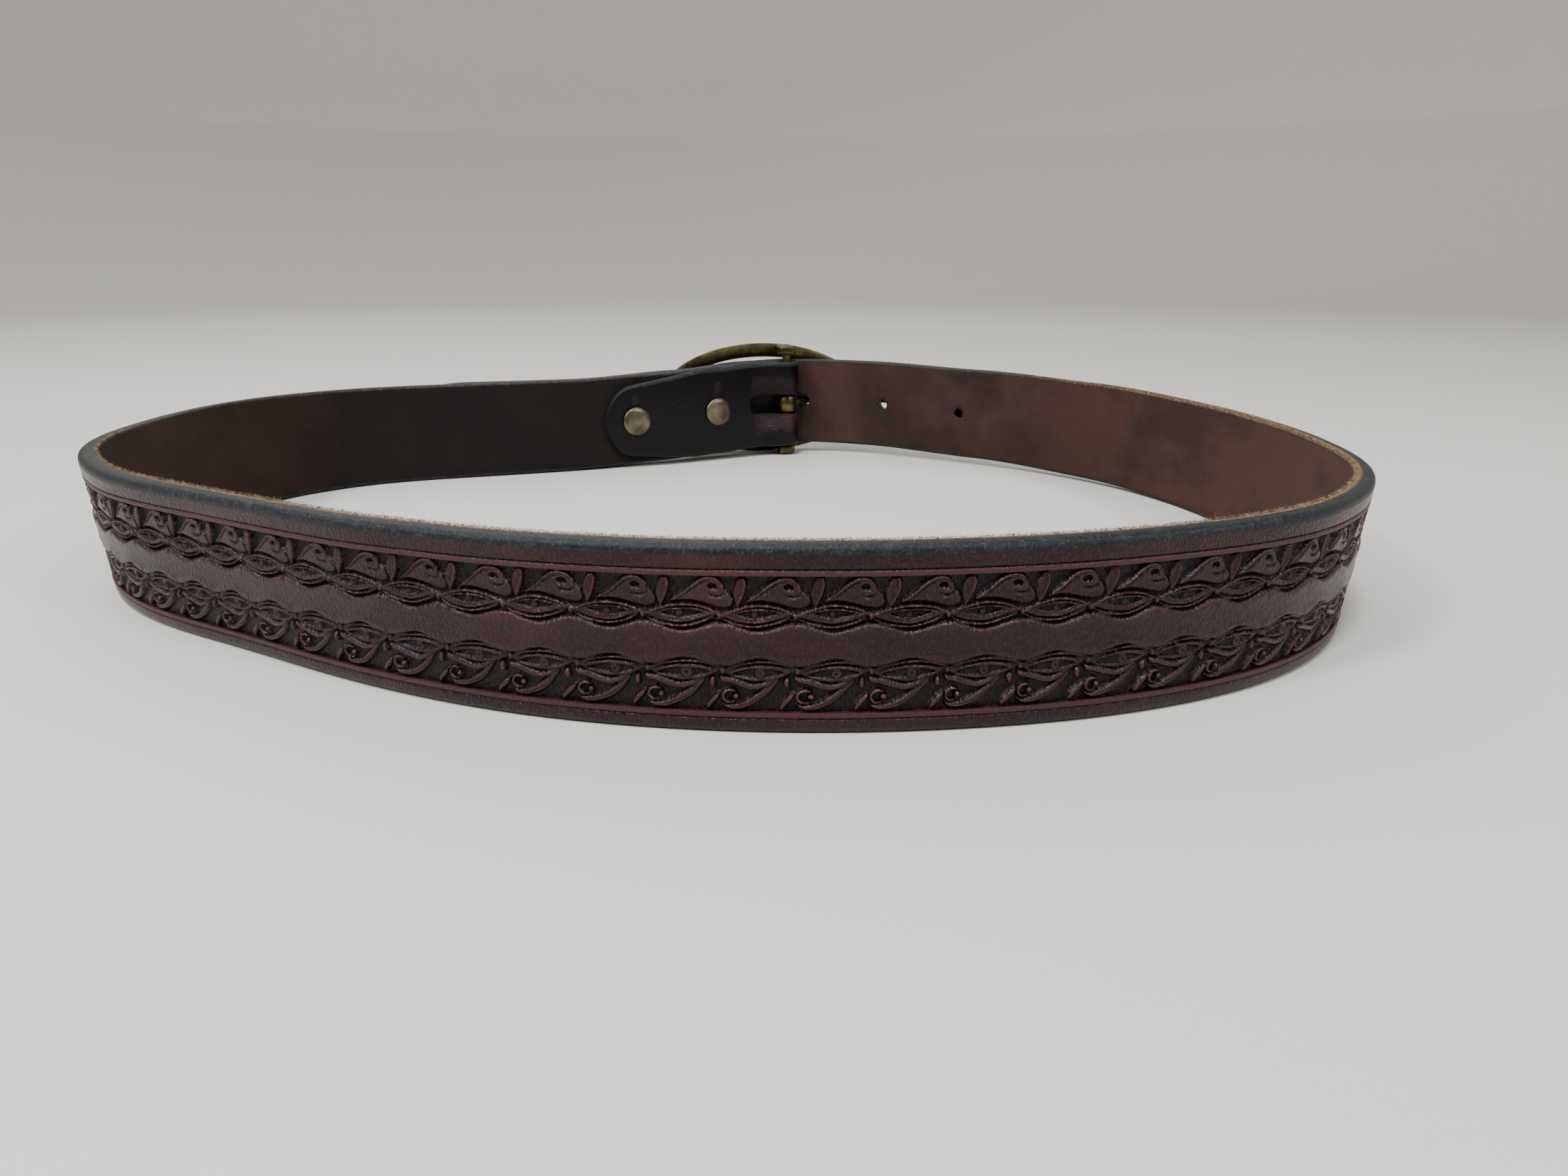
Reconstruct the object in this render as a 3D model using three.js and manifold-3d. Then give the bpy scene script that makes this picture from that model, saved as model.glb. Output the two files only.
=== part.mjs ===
// A western waist belt, fastened and standing on its edge: one leather strap folded
// round the bar of an oval frame buckle, held there by two snaps, its free end lying
// outside the buckle end. Millimetres, +Z up, the buckle at +Y.
import * as THREE from 'three';
import { mergeVertices } from 'three/addons/utils/BufferGeometryUtils.js';
import Module from 'manifold-3d';

const wasm = await Module();
wasm.setup();

// leather
const strapWidth = 38;
const strapThick = 4.8;
const bevel = 1.3;
const foldThick = 3.0; // the strap is skived where it turns round the bar
const skiveRun = 14;
const tabLength = 91; // from the fold's crown to the tab's rounded end
const tabTaper = 40;
const tabEndShare = 0.72; // of the width, where the straight taper ends
const tabEndRound = 11; // and over what length the end is rounded
const freeLength = 175; // from the bar to the tip of the free end
const tipTaper = 34;
const endRing = 1.3; // where a last section shapes the rounded tip
const grooveDepth = 0.45;
const grooveWidth = 1.2;
const gap = 0.3;

// the loop's half size across the waist and from front to back
const loopHalfX = 170;
const loopHalfY = 150;

// buckle
const barRadius = 2.0;
const frameSideClearance = 1.5; // between a strap edge and a lug, with the strap halfway
const frameHalfLength = 47.8;
const frameOffset = 10.3; // the bar stands this far right of the frame's middle
const frameBend = 230; // radius of the frame's curve round the waist
const frameBand = 6;
const frameThick = 3.0;
const lugWidth = 7;
const lugSetBack = 0.6; // how far the lugs reach behind the bar
const lugHeight = 4.2; // from the strap's side to the frame's outer edge
const lugInset = 0.5; // how far the lugs stop short of that edge
const barSetIn = 1; // how far the bar's ends go into them
const prongRadius = 1.5;
const eyeThick = 1.8;
const eyeHeight = 7;
const slotHeight = 9;
const slotLength = 18;
const shankLead = 5; // how far before its hole the shank starts to cross the layers
const shankCross = 2; // how far out from the bar it has come there
const shankLag = 0.6; // how far it hangs back where it bends
const shankSettle = 14; // how far past the hole it lies level on the frame
const shankPast = 0.5; // how far its tip passes the frame's outer edge
const shankClearance = 0.75; // round the shank in its hole

// snaps and holes
const snapSpots = [35.5, 73]; // from the bar along the strap
const capRadius = 6;
const capHeight = 1.7;
const postRadius = 2.0;
const flangeRadius = 4.4;
const flangeThick = 0.8;
const capUndercut = 0.3; // the cap's rolled rim: how far its foot, rim and shoulder stand
const capRim = 0.4;
const capShoulder = 1.0;
const capShoulderInset = 0.2;
const holeRadius = 2.1;
const firstHole = 11; // the prong's hole, from the bar towards the waist's right
const holeSpacing = 36.5;
const holesTowardsWaist = 2;
const holesInFreeEnd = 2;

// The route of the strap's lower edge seen from above: control points of a B-spline,
// in shares of the loop's half sizes, from the bar round the left side to the right.
const route = [
  [0.36, 0.92], [0.165, 0.955], [-0.01, 0.85], [-0.20, 0.735], [-0.40, 0.645],
  [-0.62, 0.57], [-0.83, 0.49], [-1.0, 0.27], [-1.02, -0.03], [-0.98, -0.33],
  [-0.80, -0.57], [-0.59, -0.69], [-0.375, -0.84], [-0.13, -0.955], [0.14, -1.0],
  [0.39, -0.985], [0.63, -0.925], [0.87, -0.78], [1.03, -0.50], [1.07, -0.14],
  [1.05, 0.20], [0.93, 0.48], [0.76, 0.69], [0.55, 0.83],
].map(([x, y]) => new THREE.Vector2(x * loopHalfX, y * loopHalfY));

// How far the strap's top leans outward, in degrees, and how far the strap stands off
// the floor, in shares of its height at the bar, both against the share of the loop.
const leanTable = [
  [0, 0], [0.09, 0], [0.15, 3], [0.22, 5], [0.28, 4], [0.33, 3.5], [0.36, 4.5], [0.40, 5],
  [0.435, 4.5], [0.46, 3], [0.50, 1.5], [0.53, 0], [0.60, 0], [0.65, 3], [0.70, 4.5],
  [0.74, 3.5], [0.78, 2], [0.85, 2], [0.92, 1], [0.97, 0], [1, 0],
];
const liftTable = [[0, 1], [0.015, 0.92], [0.035, 0.65], [0.06, 0.35], [0.10, 0.1], [0.15, 0],
  [0.80, 0], [0.86, 0.3], [0.91, 0.62], [0.96, 0.92], [1, 1]];
const freeLiftTable = [[0, 1], [0.1, 0.9], [0.3, 0.4], [0.55, 0], [1, 0]];

// the frame stands on the floor and the strap lies on its lower lug
const lugClearHalf = strapWidth / 2 + frameSideClearance;
const frameHalfHeight = lugClearHalf + lugHeight;
const barLift = lugHeight + gap;
const frameRise = frameHalfHeight - barLift - strapWidth / 2; // of its middle over the strap's

function smooth(x) {
  const t = Math.min(Math.max(x, 0), 1);
  return t * t * (3 - 2 * t);
}

function readTable(table, share) {
  for (let i = 1; i < table.length; i++) {
    const [x0, y0] = table[i - 1];
    const [x1, y1] = table[i];
    if (share <= x1) return y0 + (y1 - y0) * smooth((share - x0) / (x1 - x0));
  }
  return table[table.length - 1][1];
}

// the bar end's direction and outward normal, from the first three control points
const startTangent = route[2].clone().sub(route[0]).normalize();
const startNormal = new THREE.Vector2(startTangent.y, -startTangent.x);
const layerPitch = strapThick + gap;
const closing = route.slice(0, 3).map((p) => p.clone().addScaledVector(startNormal, layerPitch));
const control = [...route, ...closing];

function splinePoint(i, t) {
  const w = [(1 - t) ** 3, 3 * t ** 3 - 6 * t * t + 4, -3 * t ** 3 + 3 * t * t + 3 * t + 1, t ** 3];
  const p = new THREE.Vector2();
  w.forEach((k, j) => p.addScaledVector(control[i + j], k / 6));
  return p;
}

const samples = [];
const perSpan = 40;
for (let i = 0; i + 3 < control.length; i++) {
  for (let k = 0; k < perSpan; k++) samples.push(splinePoint(i, k / perSpan));
}
samples.push(splinePoint(control.length - 4, 1));
const along = [0];
for (let i = 1; i < samples.length; i++) along.push(along[i - 1] + samples[i].distanceTo(samples[i - 1]));
const loopLength = along[along.length - 1];

function routeAt(distance) {
  const d = Math.min(Math.max(distance, 0), loopLength);
  let i = along.findIndex((a) => a >= d);
  i = Math.max(i, 1);
  const t = (d - along[i - 1]) / (along[i] - along[i - 1]);
  const point = samples[i - 1].clone().lerp(samples[i], t);
  const before = samples[Math.max(i - 2, 0)];
  const after = samples[Math.min(i + 1, samples.length - 1)];
  const tangent = after.clone().sub(before).normalize();
  return { point, tangent };
}

// A station of the strap: where its mid-plane stands, which way is outward across its
// thickness and which way is up its width.
function station(distance, lift) {
  const { point, tangent } = routeAt(distance);
  const share = distance / loopLength;
  const lean = THREE.MathUtils.degToRad(readTable(leanTable, share));
  const normal = new THREE.Vector3(tangent.y, -tangent.x, 0);
  const out = normal.clone().multiplyScalar(Math.cos(lean)).setZ(-Math.sin(lean));
  const up = normal.clone().multiplyScalar(Math.sin(lean)).setZ(Math.cos(lean));
  const foot = Math.sin(Math.abs(lean)) * strapThick / 2;
  const height = (lift ?? barLift * readTable(liftTable, share)) + foot;
  return { at: new THREE.Vector3(point.x, point.y, height), out, up };
}

// The strap's section, as [across, up] pairs: across is 0 on the flesh side and 1 on the
// grain side, up is the share of the width. The two grooves bound the tooled field.
const bevelUp = bevel / strapWidth;
const bevelAcross = 1 - bevel / strapThick;
const grooveAcross = 1 - grooveDepth / strapThick;
const grooveUp = grooveWidth / 2 / strapWidth;
const grooves = [0.118, 0.859];
const section = [[0, 0], [bevelAcross, 0], [1, bevelUp]];
for (const g of grooves) section.push([1, g - grooveUp], [grooveAcross, g], [1, g + grooveUp]);
section.push([1, 1 - bevelUp], [bevelAcross, 1], [0, 1]);

// One ring of section points. inner and outer are distances from the mid-plane, and
// half is half the width there.
function ring(s, inner, outer, half) {
  return section.map(([a, u]) => s.at.clone()
    .addScaledVector(s.out, inner + (outer - inner) * a)
    .addScaledVector(s.up, strapWidth / 2 + (u - 0.5) * 2 * half));
}

const halfWidth = strapWidth / 2;
const leastHalf = 0.08 * halfWidth; // the flat left at each rounded end
function roundedEnd(fromEnd, length) {
  return Math.sqrt(1 - (1 - Math.min(fromEnd / length, 1)) ** 2);
}
function tabHalf(fromEnd) {
  const taper = Math.min(tabEndShare + (1 - tabEndShare) * fromEnd / tabTaper, 1);
  return Math.max(halfWidth * taper * roundedEnd(fromEnd, tabEndRound), leastHalf);
}
function tipHalf(fromEnd) {
  return Math.max(halfWidth * roundedEnd(fromEnd, tipTaper), leastHalf);
}

// bar and fold, worked out from the strap's grain face inward
const innerAtBar = strapThick / 2 - foldThick;
const barAcross = innerAtBar - gap - barRadius;
const tabFleshAtBar = barAcross - barRadius - gap;
const fleshSide = (d) => -strapThick / 2 + (innerAtBar + strapThick / 2) * (1 - smooth(d / skiveRun));
const tabFlesh = (d) => -strapThick / 2 - gap
  + (tabFleshAtBar + strapThick / 2 + gap) * (1 - smooth(d / skiveRun));
const barStation = station(0);
const barCentre = barStation.at.clone().addScaledVector(barStation.out, barAcross);
const forward = new THREE.Vector3(startTangent.x, startTangent.y, 0);
const foldRadius = barRadius + gap;
const tabReach = tabLength - foldRadius - foldThick;

const rings = [];
const tabSteps = 26;
const tabCrowding = 1.6; // sections stand closer towards the rounded end
for (let i = 0; i <= tabSteps; i++) {
  const near = tabReach * (i / tabSteps) ** tabCrowding;
  const d = tabReach - near;
  const base = station(d);
  // the tab's grain faces into the loop, so its outward side is the other way
  const s = { at: base.at, out: base.out.clone().negate(), up: base.up };
  rings.push(ring(s, -tabFlesh(d), -tabFlesh(d) + foldThick, tabHalf(near)));
}
const foldSteps = 10;
for (let i = 1; i < foldSteps; i++) {
  const angle = Math.PI * (1 - i / foldSteps);
  const out = barStation.out.clone().multiplyScalar(Math.cos(angle))
    .addScaledVector(forward, -Math.sin(angle));
  const at = barCentre.clone();
  rings.push(ring({ at, out, up: barStation.up }, foldRadius, foldRadius + foldThick, halfWidth));
}
const loopSteps = 150;
for (let i = 0; i <= loopSteps; i++) {
  const d = loopLength * i / loopSteps;
  rings.push(ring(station(d), d < skiveRun ? fleshSide(d) : -strapThick / 2, strapThick / 2, halfWidth));
  if (i === 0 || i === 1) {
    const mid = d + loopLength / loopSteps / 2;
    rings.push(ring(station(mid), fleshSide(mid), strapThick / 2, halfWidth));
  }
}

// the free end lies outside the buckle end, one layer further out, and sinks to the floor
function freeStation(d) {
  const s = station(d, barLift * readTable(freeLiftTable, d / freeLength));
  const { z } = s.at;
  s.at.addScaledVector(s.out, layerPitch).setZ(z);
  return s;
}
const freeSteps = 30;
for (let i = 1; i <= freeSteps; i++) {
  const d = freeLength * i / freeSteps;
  rings.push(ring(freeStation(d), -strapThick / 2, strapThick / 2, tipHalf(freeLength - d)));
  if (i === freeSteps - 1) {
    rings.push(ring(freeStation(freeLength - endRing), -strapThick / 2, strapThick / 2, tipHalf(endRing)));
  }
}

// A closed skin over rings of equal counts, capped flat at both ends.
function skin(list) {
  const n = list[0].length;
  const position = [];
  list.flat().forEach((p) => position.push(p.x, p.y, p.z));
  const index = [];
  for (let i = 0; i + 1 < list.length; i++) {
    for (let j = 0; j < n; j++) {
      const a = i * n + j;
      const b = i * n + (j + 1) % n;
      index.push(a, b, a + n, b, b + n, a + n);
    }
  }
  const flat = section.slice(0, n).map(([a, u]) => new THREE.Vector2(a * strapThick, u * strapWidth));
  const shape = n === section.length ? flat : list[0].map((_, j) => new THREE.Vector2(
    Math.cos(2 * Math.PI * j / n), Math.sin(2 * Math.PI * j / n)));
  const last = (list.length - 1) * n;
  THREE.ShapeUtils.triangulateShape(shape, []).forEach(([a, b, c]) => {
    index.push(a, c, b, last + a, last + b, last + c);
  });
  const geometry = new THREE.BufferGeometry();
  geometry.setAttribute('position', new THREE.Float32BufferAttribute(position, 3));
  geometry.setIndex(index);
  return geometry;
}

function toSolid(geometry, matrix) {
  const g = geometry.clone();
  if (matrix) g.applyMatrix4(matrix);
  g.deleteAttribute('normal');
  g.deleteAttribute('uv');
  const merged = mergeVertices(g, 1e-5);
  const make = (triVerts) => new wasm.Manifold(new wasm.Mesh({
    numProp: 3, vertProperties: new Float32Array(merged.attributes.position.array), triVerts }));
  const triVerts = new Uint32Array(merged.index.array);
  const solid = make(triVerts);
  if (solid.volume() > 0) return solid;
  for (let i = 0; i < triVerts.length; i += 3) {
    [triVerts[i + 1], triVerts[i + 2]] = [triVerts[i + 2], triVerts[i + 1]];
  }
  return make(triVerts);
}

function toMesh(name, solid, material) {
  const { vertProperties, triVerts } = solid.getMesh();
  const geometry = new THREE.BufferGeometry();
  geometry.setAttribute('position', new THREE.Float32BufferAttribute(vertProperties, 3));
  geometry.setIndex(Array.from(triVerts));
  geometry.computeVertexNormals();
  const mesh = new THREE.Mesh(geometry, material);
  mesh.name = name;
  return mesh;
}

// a frame whose Y runs along a direction, for cylinders and lathed pieces
function aim(origin, direction) {
  const turn = new THREE.Quaternion().setFromUnitVectors(new THREE.Vector3(0, 1, 0),
    direction.clone().normalize());
  return new THREE.Matrix4().compose(origin, turn, new THREE.Vector3(1, 1, 1));
}

// the buckle's own frame: X towards the waist's right, Y outward, Z up, at the bar
const right = forward.clone().negate();
const outward = barStation.out.clone();
const barMiddle = barStation.at.clone().addScaledVector(barStation.up, halfWidth);
function buckleAt(x, across, z) {
  return barMiddle.clone().addScaledVector(right, x).addScaledVector(outward, across)
    .add(new THREE.Vector3(0, 0, z));
}
const buckleMatrix = new THREE.Matrix4().makeBasis(right, outward, new THREE.Vector3(0, 0, 1))
  .setPosition(barMiddle);

// strap: the sweep, less the prong's slot, the holes and the seats of the snap posts
let strap = toSolid(skin(rings));
const slotOuter = strapThick / 2 + gap / 2;
const slotInner = tabFleshAtBar - foldThick - gap;
const slotBox = new THREE.BoxGeometry(slotLength + foldRadius + 2 * foldThick,
  slotOuter - slotInner, slotHeight);
slotBox.translate((foldRadius + 2 * foldThick - slotLength) / 2, (slotOuter + slotInner) / 2, 0);
strap = strap.subtract(toSolid(slotBox, buckleMatrix));

// The prong's shank leaves the eye, crosses to its hole in the strap and lies on the
// frame's right side. Places are [right of the bar, across, up].
const freeInner = strapThick / 2 + gap;
const freeOuter = freeInner + strapThick;
const frameInner = freeOuter + gap;
const frameOuter = frameInner + frameThick;
const eyeInner = barRadius + gap;
const eyeOuter = eyeInner + eyeThick;
const frameRight = frameHalfLength - frameOffset;
const frameDrop = (x) => frameBend - Math.sqrt(frameBend ** 2 - x ** 2);
const shankRest = frameOuter + gap + prongRadius - frameDrop(frameRight - frameBand);
const shankRoute = [
  buckleAt(eyeInner + eyeThick / 2, barAcross, 0),
  buckleAt(firstHole - shankLead, barAcross + shankCross, 0),
  buckleAt(firstHole - shankLead * 0.1, (freeInner + freeOuter) / 2 - shankLag, 0),
  buckleAt(firstHole + shankLead * 0.9, frameInner + shankCross / 2, 0),
  buckleAt(firstHole + shankSettle, shankRest - shankLag, 0),
  buckleAt(frameRight - frameBand, shankRest, 0),
  buckleAt(frameRight + shankPast, shankRest - shankPast, 0),
];
const shankCurve = new THREE.CatmullRomCurve3(shankRoute);

function swept(curve, steps, radiusAt, sides) {
  const frames = curve.computeFrenetFrames(steps, false);
  const list = [];
  for (let i = 0; i <= steps; i++) {
    const p = curve.getPointAt(i / steps);
    const r = radiusAt(i / steps);
    list.push(Array.from({ length: sides }, (_, j) => {
      const a = 2 * Math.PI * j / sides;
      return p.clone().addScaledVector(frames.normals[i], r * Math.cos(a))
        .addScaledVector(frames.binormals[i], r * Math.sin(a));
    }));
  }
  return skin(list);
}

// the prong's hole follows the shank, the other holes are square to the strap
const shankClear = new THREE.CatmullRomCurve3(shankRoute.slice(1, 4));
strap = strap.subtract(toSolid(swept(shankClear, 10, () => prongRadius + shankClearance, 16)));
const holes = [];
for (let i = 1; i <= holesTowardsWaist; i++) {
  holes.push(station(loopLength - firstHole - i * holeSpacing));
}
for (let i = 1; i <= holesInFreeEnd; i++) holes.push(freeStation(i * holeSpacing - firstHole));
for (const h of holes) {
  const length = strapThick + gap;
  const centre = h.at.clone().addScaledVector(h.up, halfWidth);
  const cutter = new THREE.CylinderGeometry(holeRadius, holeRadius, length, 20);
  strap = strap.subtract(toSolid(cutter, aim(centre, h.out)));
}

const leatherMaterial = new THREE.MeshStandardMaterial({ color: 0x3a1a16, roughness: 0.5 });
const brassMaterial = new THREE.MeshStandardMaterial({ color: 0x8a7440, roughness: 0.35, metalness: 1 });
const capMaterial = new THREE.MeshStandardMaterial({ color: 0x8c8068, roughness: 0.4, metalness: 1 });

// snaps: a domed cap on the tab, its post through tab and strap, and a flange let into
// the strap's grain side
const snaps = snapSpots.map((spot, i) => {
  const s = station(spot);
  const centre = s.at.clone().addScaledVector(s.up, halfWidth);
  const grain = tabFlesh(spot) - foldThick;
  const seat = aim(centre, s.out.clone().negate());
  const capFoot = -grain + gap;
  const flangeTop = -strapThick / 2 + flangeThick;
  const profile = [
    [0, flangeTop - flangeThick], [flangeRadius, flangeTop - flangeThick], [flangeRadius, flangeTop],
    [postRadius, flangeTop], [postRadius, capFoot], [capRadius - capUndercut, capFoot],
    [capRadius, capFoot + capRim], [capRadius - capShoulderInset, capFoot + capShoulder],
    [capRadius * 0.78, capFoot + capHeight], [0, capFoot + capHeight],
  ].map(([r, y]) => new THREE.Vector2(r, y));
  // the seat's cut stays inside the buckle end, clear of the free end outside it
  const seatProfile = [
    [0, -strapThick / 2 - gap / 2], [flangeRadius + gap, -strapThick / 2 - gap / 2],
    [flangeRadius + gap, flangeTop + gap], [postRadius + gap, flangeTop + gap],
    [postRadius + gap, capFoot + gap], [0, capFoot + gap],
  ].map(([r, y]) => new THREE.Vector2(r, y));
  strap = strap.subtract(toSolid(new THREE.LatheGeometry(seatProfile, 24), seat));
  const solid = toSolid(new THREE.LatheGeometry(profile, 28), seat);
  return toMesh(`snap_${i + 1}`, solid, capMaterial);
});

// buckle: an oval frame, domed outside, with a bar set in on two lugs
function oval(halfLength, halfHeight, steps) {
  return Array.from({ length: steps }, (_, k) => {
    const a = 2 * Math.PI * k / steps;
    return [halfLength * Math.cos(a), halfHeight * Math.sin(a)];
  });
}
const ovalSteps = 56;
const bandSection = [[0, 0], [0, 0.55], [0.2, 0.86], [0.5, 1], [0.8, 0.86], [1, 0.55], [1, 0]];
const outerOval = oval(frameHalfLength, frameHalfHeight, ovalSteps);
const innerOval = oval(frameHalfLength - frameBand, frameHalfHeight - frameBand, ovalSteps);
const bandPosition = [];
for (let k = 0; k < ovalSteps; k++) {
  for (const [w, t] of bandSection) {
    const x = innerOval[k][0] + (outerOval[k][0] - innerOval[k][0]) * w - frameOffset;
    const z = innerOval[k][1] + (outerOval[k][1] - innerOval[k][1]) * w + frameRise;
    bandPosition.push(x, frameInner + frameThick * t - frameDrop(x), z);
  }
}
const bandIndex = [];
const m = bandSection.length;
for (let k = 0; k < ovalSteps; k++) {
  for (let j = 0; j < m; j++) {
    const a = k * m + j;
    const b = k * m + (j + 1) % m;
    const c = ((k + 1) % ovalSteps) * m + j;
    const d = ((k + 1) % ovalSteps) * m + (j + 1) % m;
    bandIndex.push(a, c, b, b, c, d);
  }
}
const bandGeometry = new THREE.BufferGeometry();
bandGeometry.setAttribute('position', new THREE.Float32BufferAttribute(bandPosition, 3));
bandGeometry.setIndex(bandIndex);
let buckle = toSolid(bandGeometry, buckleMatrix);
const lugInner = barAcross - barRadius - lugSetBack;
const lugOuter = frameInner + frameThick / 2;
for (const side of [1, -1]) {
  const lug = new THREE.BoxGeometry(lugWidth, lugOuter - lugInner, lugHeight - lugInset);
  const lugMiddle = frameRise + side * (lugClearHalf + (lugHeight - lugInset) / 2);
  lug.translate(0, (lugOuter + lugInner) / 2, lugMiddle);
  buckle = buckle.add(toSolid(lug, buckleMatrix));
}
const bar = new THREE.CylinderGeometry(barRadius, barRadius, 2 * (lugClearHalf + barSetIn), 20);
bar.rotateX(Math.PI / 2);
bar.translate(0, barAcross, frameRise);
buckle = buckle.add(toSolid(bar, buckleMatrix));

// prong: an eye round the bar and a round shank whose tip thins a little
const eyeProfile = [[eyeInner, -eyeHeight / 2], [eyeOuter, -eyeHeight / 2],
  [eyeOuter, eyeHeight / 2], [eyeInner, eyeHeight / 2], [eyeInner, -eyeHeight / 2]]
  .map(([r, y]) => new THREE.Vector2(r, y));
const eye = new THREE.LatheGeometry(eyeProfile, 28);
eye.rotateX(Math.PI / 2);
eye.translate(0, barAcross, 0);
let prong = toSolid(eye, buckleMatrix);
const tipStart = 0.94; // shares of the shank's length: where its tip starts to round, and over what
const tipRound = 0.065;
const leastTip = 0.05;
function shankRadius(t) {
  const round = Math.max(t - tipStart, 0) / tipRound;
  return prongRadius * Math.sqrt(Math.max(1 - round ** 2, leastTip));
}
prong = prong.add(toSolid(swept(shankCurve, 40, shankRadius, 12)));

const belt = new THREE.Group();
belt.add(toMesh('strap', strap, leatherMaterial));
belt.add(toMesh('buckle', buckle, brassMaterial));
belt.add(toMesh('prong', prong, brassMaterial));
snaps.forEach((s) => belt.add(s));

// the origin goes to the bottom centre of the whole
belt.updateMatrixWorld(true);
const box = new THREE.Box3().setFromObject(belt, true);
belt.position.set(-(box.min.x + box.max.x) / 2, -(box.min.y + box.max.y) / 2, -box.min.z);

export default belt;
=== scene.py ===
import math

import bmesh
import bpy
import numpy as np
from mathutils import Matrix, Vector


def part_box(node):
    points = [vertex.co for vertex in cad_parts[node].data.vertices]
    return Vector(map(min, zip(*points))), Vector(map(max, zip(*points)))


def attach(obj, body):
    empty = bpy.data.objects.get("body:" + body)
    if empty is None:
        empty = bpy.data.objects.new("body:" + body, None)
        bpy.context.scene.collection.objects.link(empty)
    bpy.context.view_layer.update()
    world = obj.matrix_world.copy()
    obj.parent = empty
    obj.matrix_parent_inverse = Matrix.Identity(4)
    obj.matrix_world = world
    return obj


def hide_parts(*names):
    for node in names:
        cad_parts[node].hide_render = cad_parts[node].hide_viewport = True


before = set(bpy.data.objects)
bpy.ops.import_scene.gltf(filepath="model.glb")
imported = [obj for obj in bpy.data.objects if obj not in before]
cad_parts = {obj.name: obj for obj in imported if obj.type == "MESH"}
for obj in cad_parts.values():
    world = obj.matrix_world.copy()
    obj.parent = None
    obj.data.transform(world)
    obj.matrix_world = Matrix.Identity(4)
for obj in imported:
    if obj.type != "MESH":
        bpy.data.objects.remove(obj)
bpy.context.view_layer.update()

# Camera: held low in front of the fastened belt, looking down a little at the stamped
# front, with the buckle at the back of the loop.
MM = 0.001
PHOTO_WIDTH, PHOTO_HEIGHT = 2212, 1659
FOCAL_PIXELS = 1420
HORIZON_ROW = 358
CAMERA_PLACE = Vector((24.1, -330.0, 88.3)) * MM

camera_data = bpy.data.cameras.new("camera")
camera_data.sensor_fit = "HORIZONTAL"
camera_data.sensor_width = 36
camera_data.lens = FOCAL_PIXELS / PHOTO_WIDTH * camera_data.sensor_width
camera_data.clip_start = 0.01
camera = bpy.data.objects.new("camera", camera_data)
bpy.context.scene.collection.objects.link(camera)
down = math.atan((PHOTO_HEIGHT / 2 - HORIZON_ROW) / FOCAL_PIXELS)
camera.location = CAMERA_PLACE
camera.rotation_euler = (math.pi / 2 - down, 0, 0)
bpy.context.scene.camera = camera

# Strap: one length of heavy vegetable-tanned leather, cut to width, its edges rounded
# and dyed. It is folded round the buckle's bar to a tab, goes once round the waist, and
# its free end lies outside the buckle end, down to the floor.
WIDTH, THICK, GAP = 38.0, 4.8, 0.3
HALF = WIDTH / 2
LAYER = THICK + GAP
FOLD_THICK, SKIVE_RUN = 3.0, 14.0
TAB_LENGTH, TAB_TAPER, TAB_END_SHARE, TAB_END_ROUND = 91.0, 40.0, 0.72, 11.0
FREE_LENGTH, TIP_TAPER = 175.0, 34.0
LEAST_HALF = 0.02 * HALF  # half the width left at the very ends
BAR_RADIUS = 2.0
LUG_HEIGHT = 4.2
BAR_LIFT = LUG_HEIGHT + GAP
LOOP_X, LOOP_Y = 170.0, 150.0
ROUTE = [  # of the strap's lower edge from above, in shares of the loop's half sizes
    (.36, .92), (.165, .955), (-.01, .85), (-.20, .735), (-.40, .645), (-.62, .57),
    (-.83, .49), (-1.0, .27), (-1.02, -.03), (-.98, -.33), (-.80, -.57), (-.59, -.69),
    (-.375, -.84), (-.13, -.955), (.14, -1.0), (.39, -.985), (.63, -.925), (.87, -.78),
    (1.03, -.50), (1.07, -.14), (1.05, .20), (.93, .48), (.76, .69), (.55, .83),
]
LEAN = [  # degrees outward, against the share of the loop
    (0, 0), (.09, 0), (.15, 3), (.22, 5), (.28, 4), (.33, 3.5), (.36, 4.5), (.40, 5),
    (.435, 4.5), (.46, 3), (.50, 1.5), (.53, 0), (.60, 0), (.65, 3), (.70, 4.5), (.74, 3.5),
    (.78, 2), (.85, 2), (.92, 1), (.97, 0), (1, 0),
]
LIFT = [(0, 1), (.015, .92), (.035, .65), (.06, .35), (.10, .1), (.15, 0), (.80, 0), (.86, .3),
        (.91, .62), (.96, .92), (1, 1)]
FREE_LIFT = [(0, 1), (.1, .9), (.3, .4), (.55, 0), (1, 0)]


def smooth(x):
    t = np.clip(x, 0, 1)
    return t * t * (3 - 2 * t)


def read_table(table, share):
    xs, ys = np.array(table).T
    i = np.clip(np.searchsorted(xs, share, side="left"), 1, len(xs) - 1)
    return ys[i - 1] + (ys[i] - ys[i - 1]) * smooth((share - xs[i - 1]) / (xs[i] - xs[i - 1]))


# the route is a B-spline whose end comes back beside its start, one layer further out
SPAN_STEPS = 40
control = np.array(ROUTE) * (LOOP_X, LOOP_Y)
start_way = (control[2] - control[0]) / np.linalg.norm(control[2] - control[0])
start_out = np.array((start_way[1], -start_way[0]))
control = np.vstack([control, control[:3] + start_out * LAYER])
t = np.arange(SPAN_STEPS)[:, None] / SPAN_STEPS
weights = np.hstack([(1 - t) ** 3, 3 * t ** 3 - 6 * t * t + 4,
                     -3 * t ** 3 + 3 * t * t + 3 * t + 1, t ** 3]) / 6
route = np.vstack([weights @ control[i:i + 4] for i in range(len(control) - 3)]
                  + [np.array([1, 4, 1]) @ control[-3:] / 6])
along = np.concatenate([[0], np.cumsum(np.linalg.norm(np.diff(route, axis=0), axis=1))])
LOOP_LENGTH = along[-1]
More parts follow.
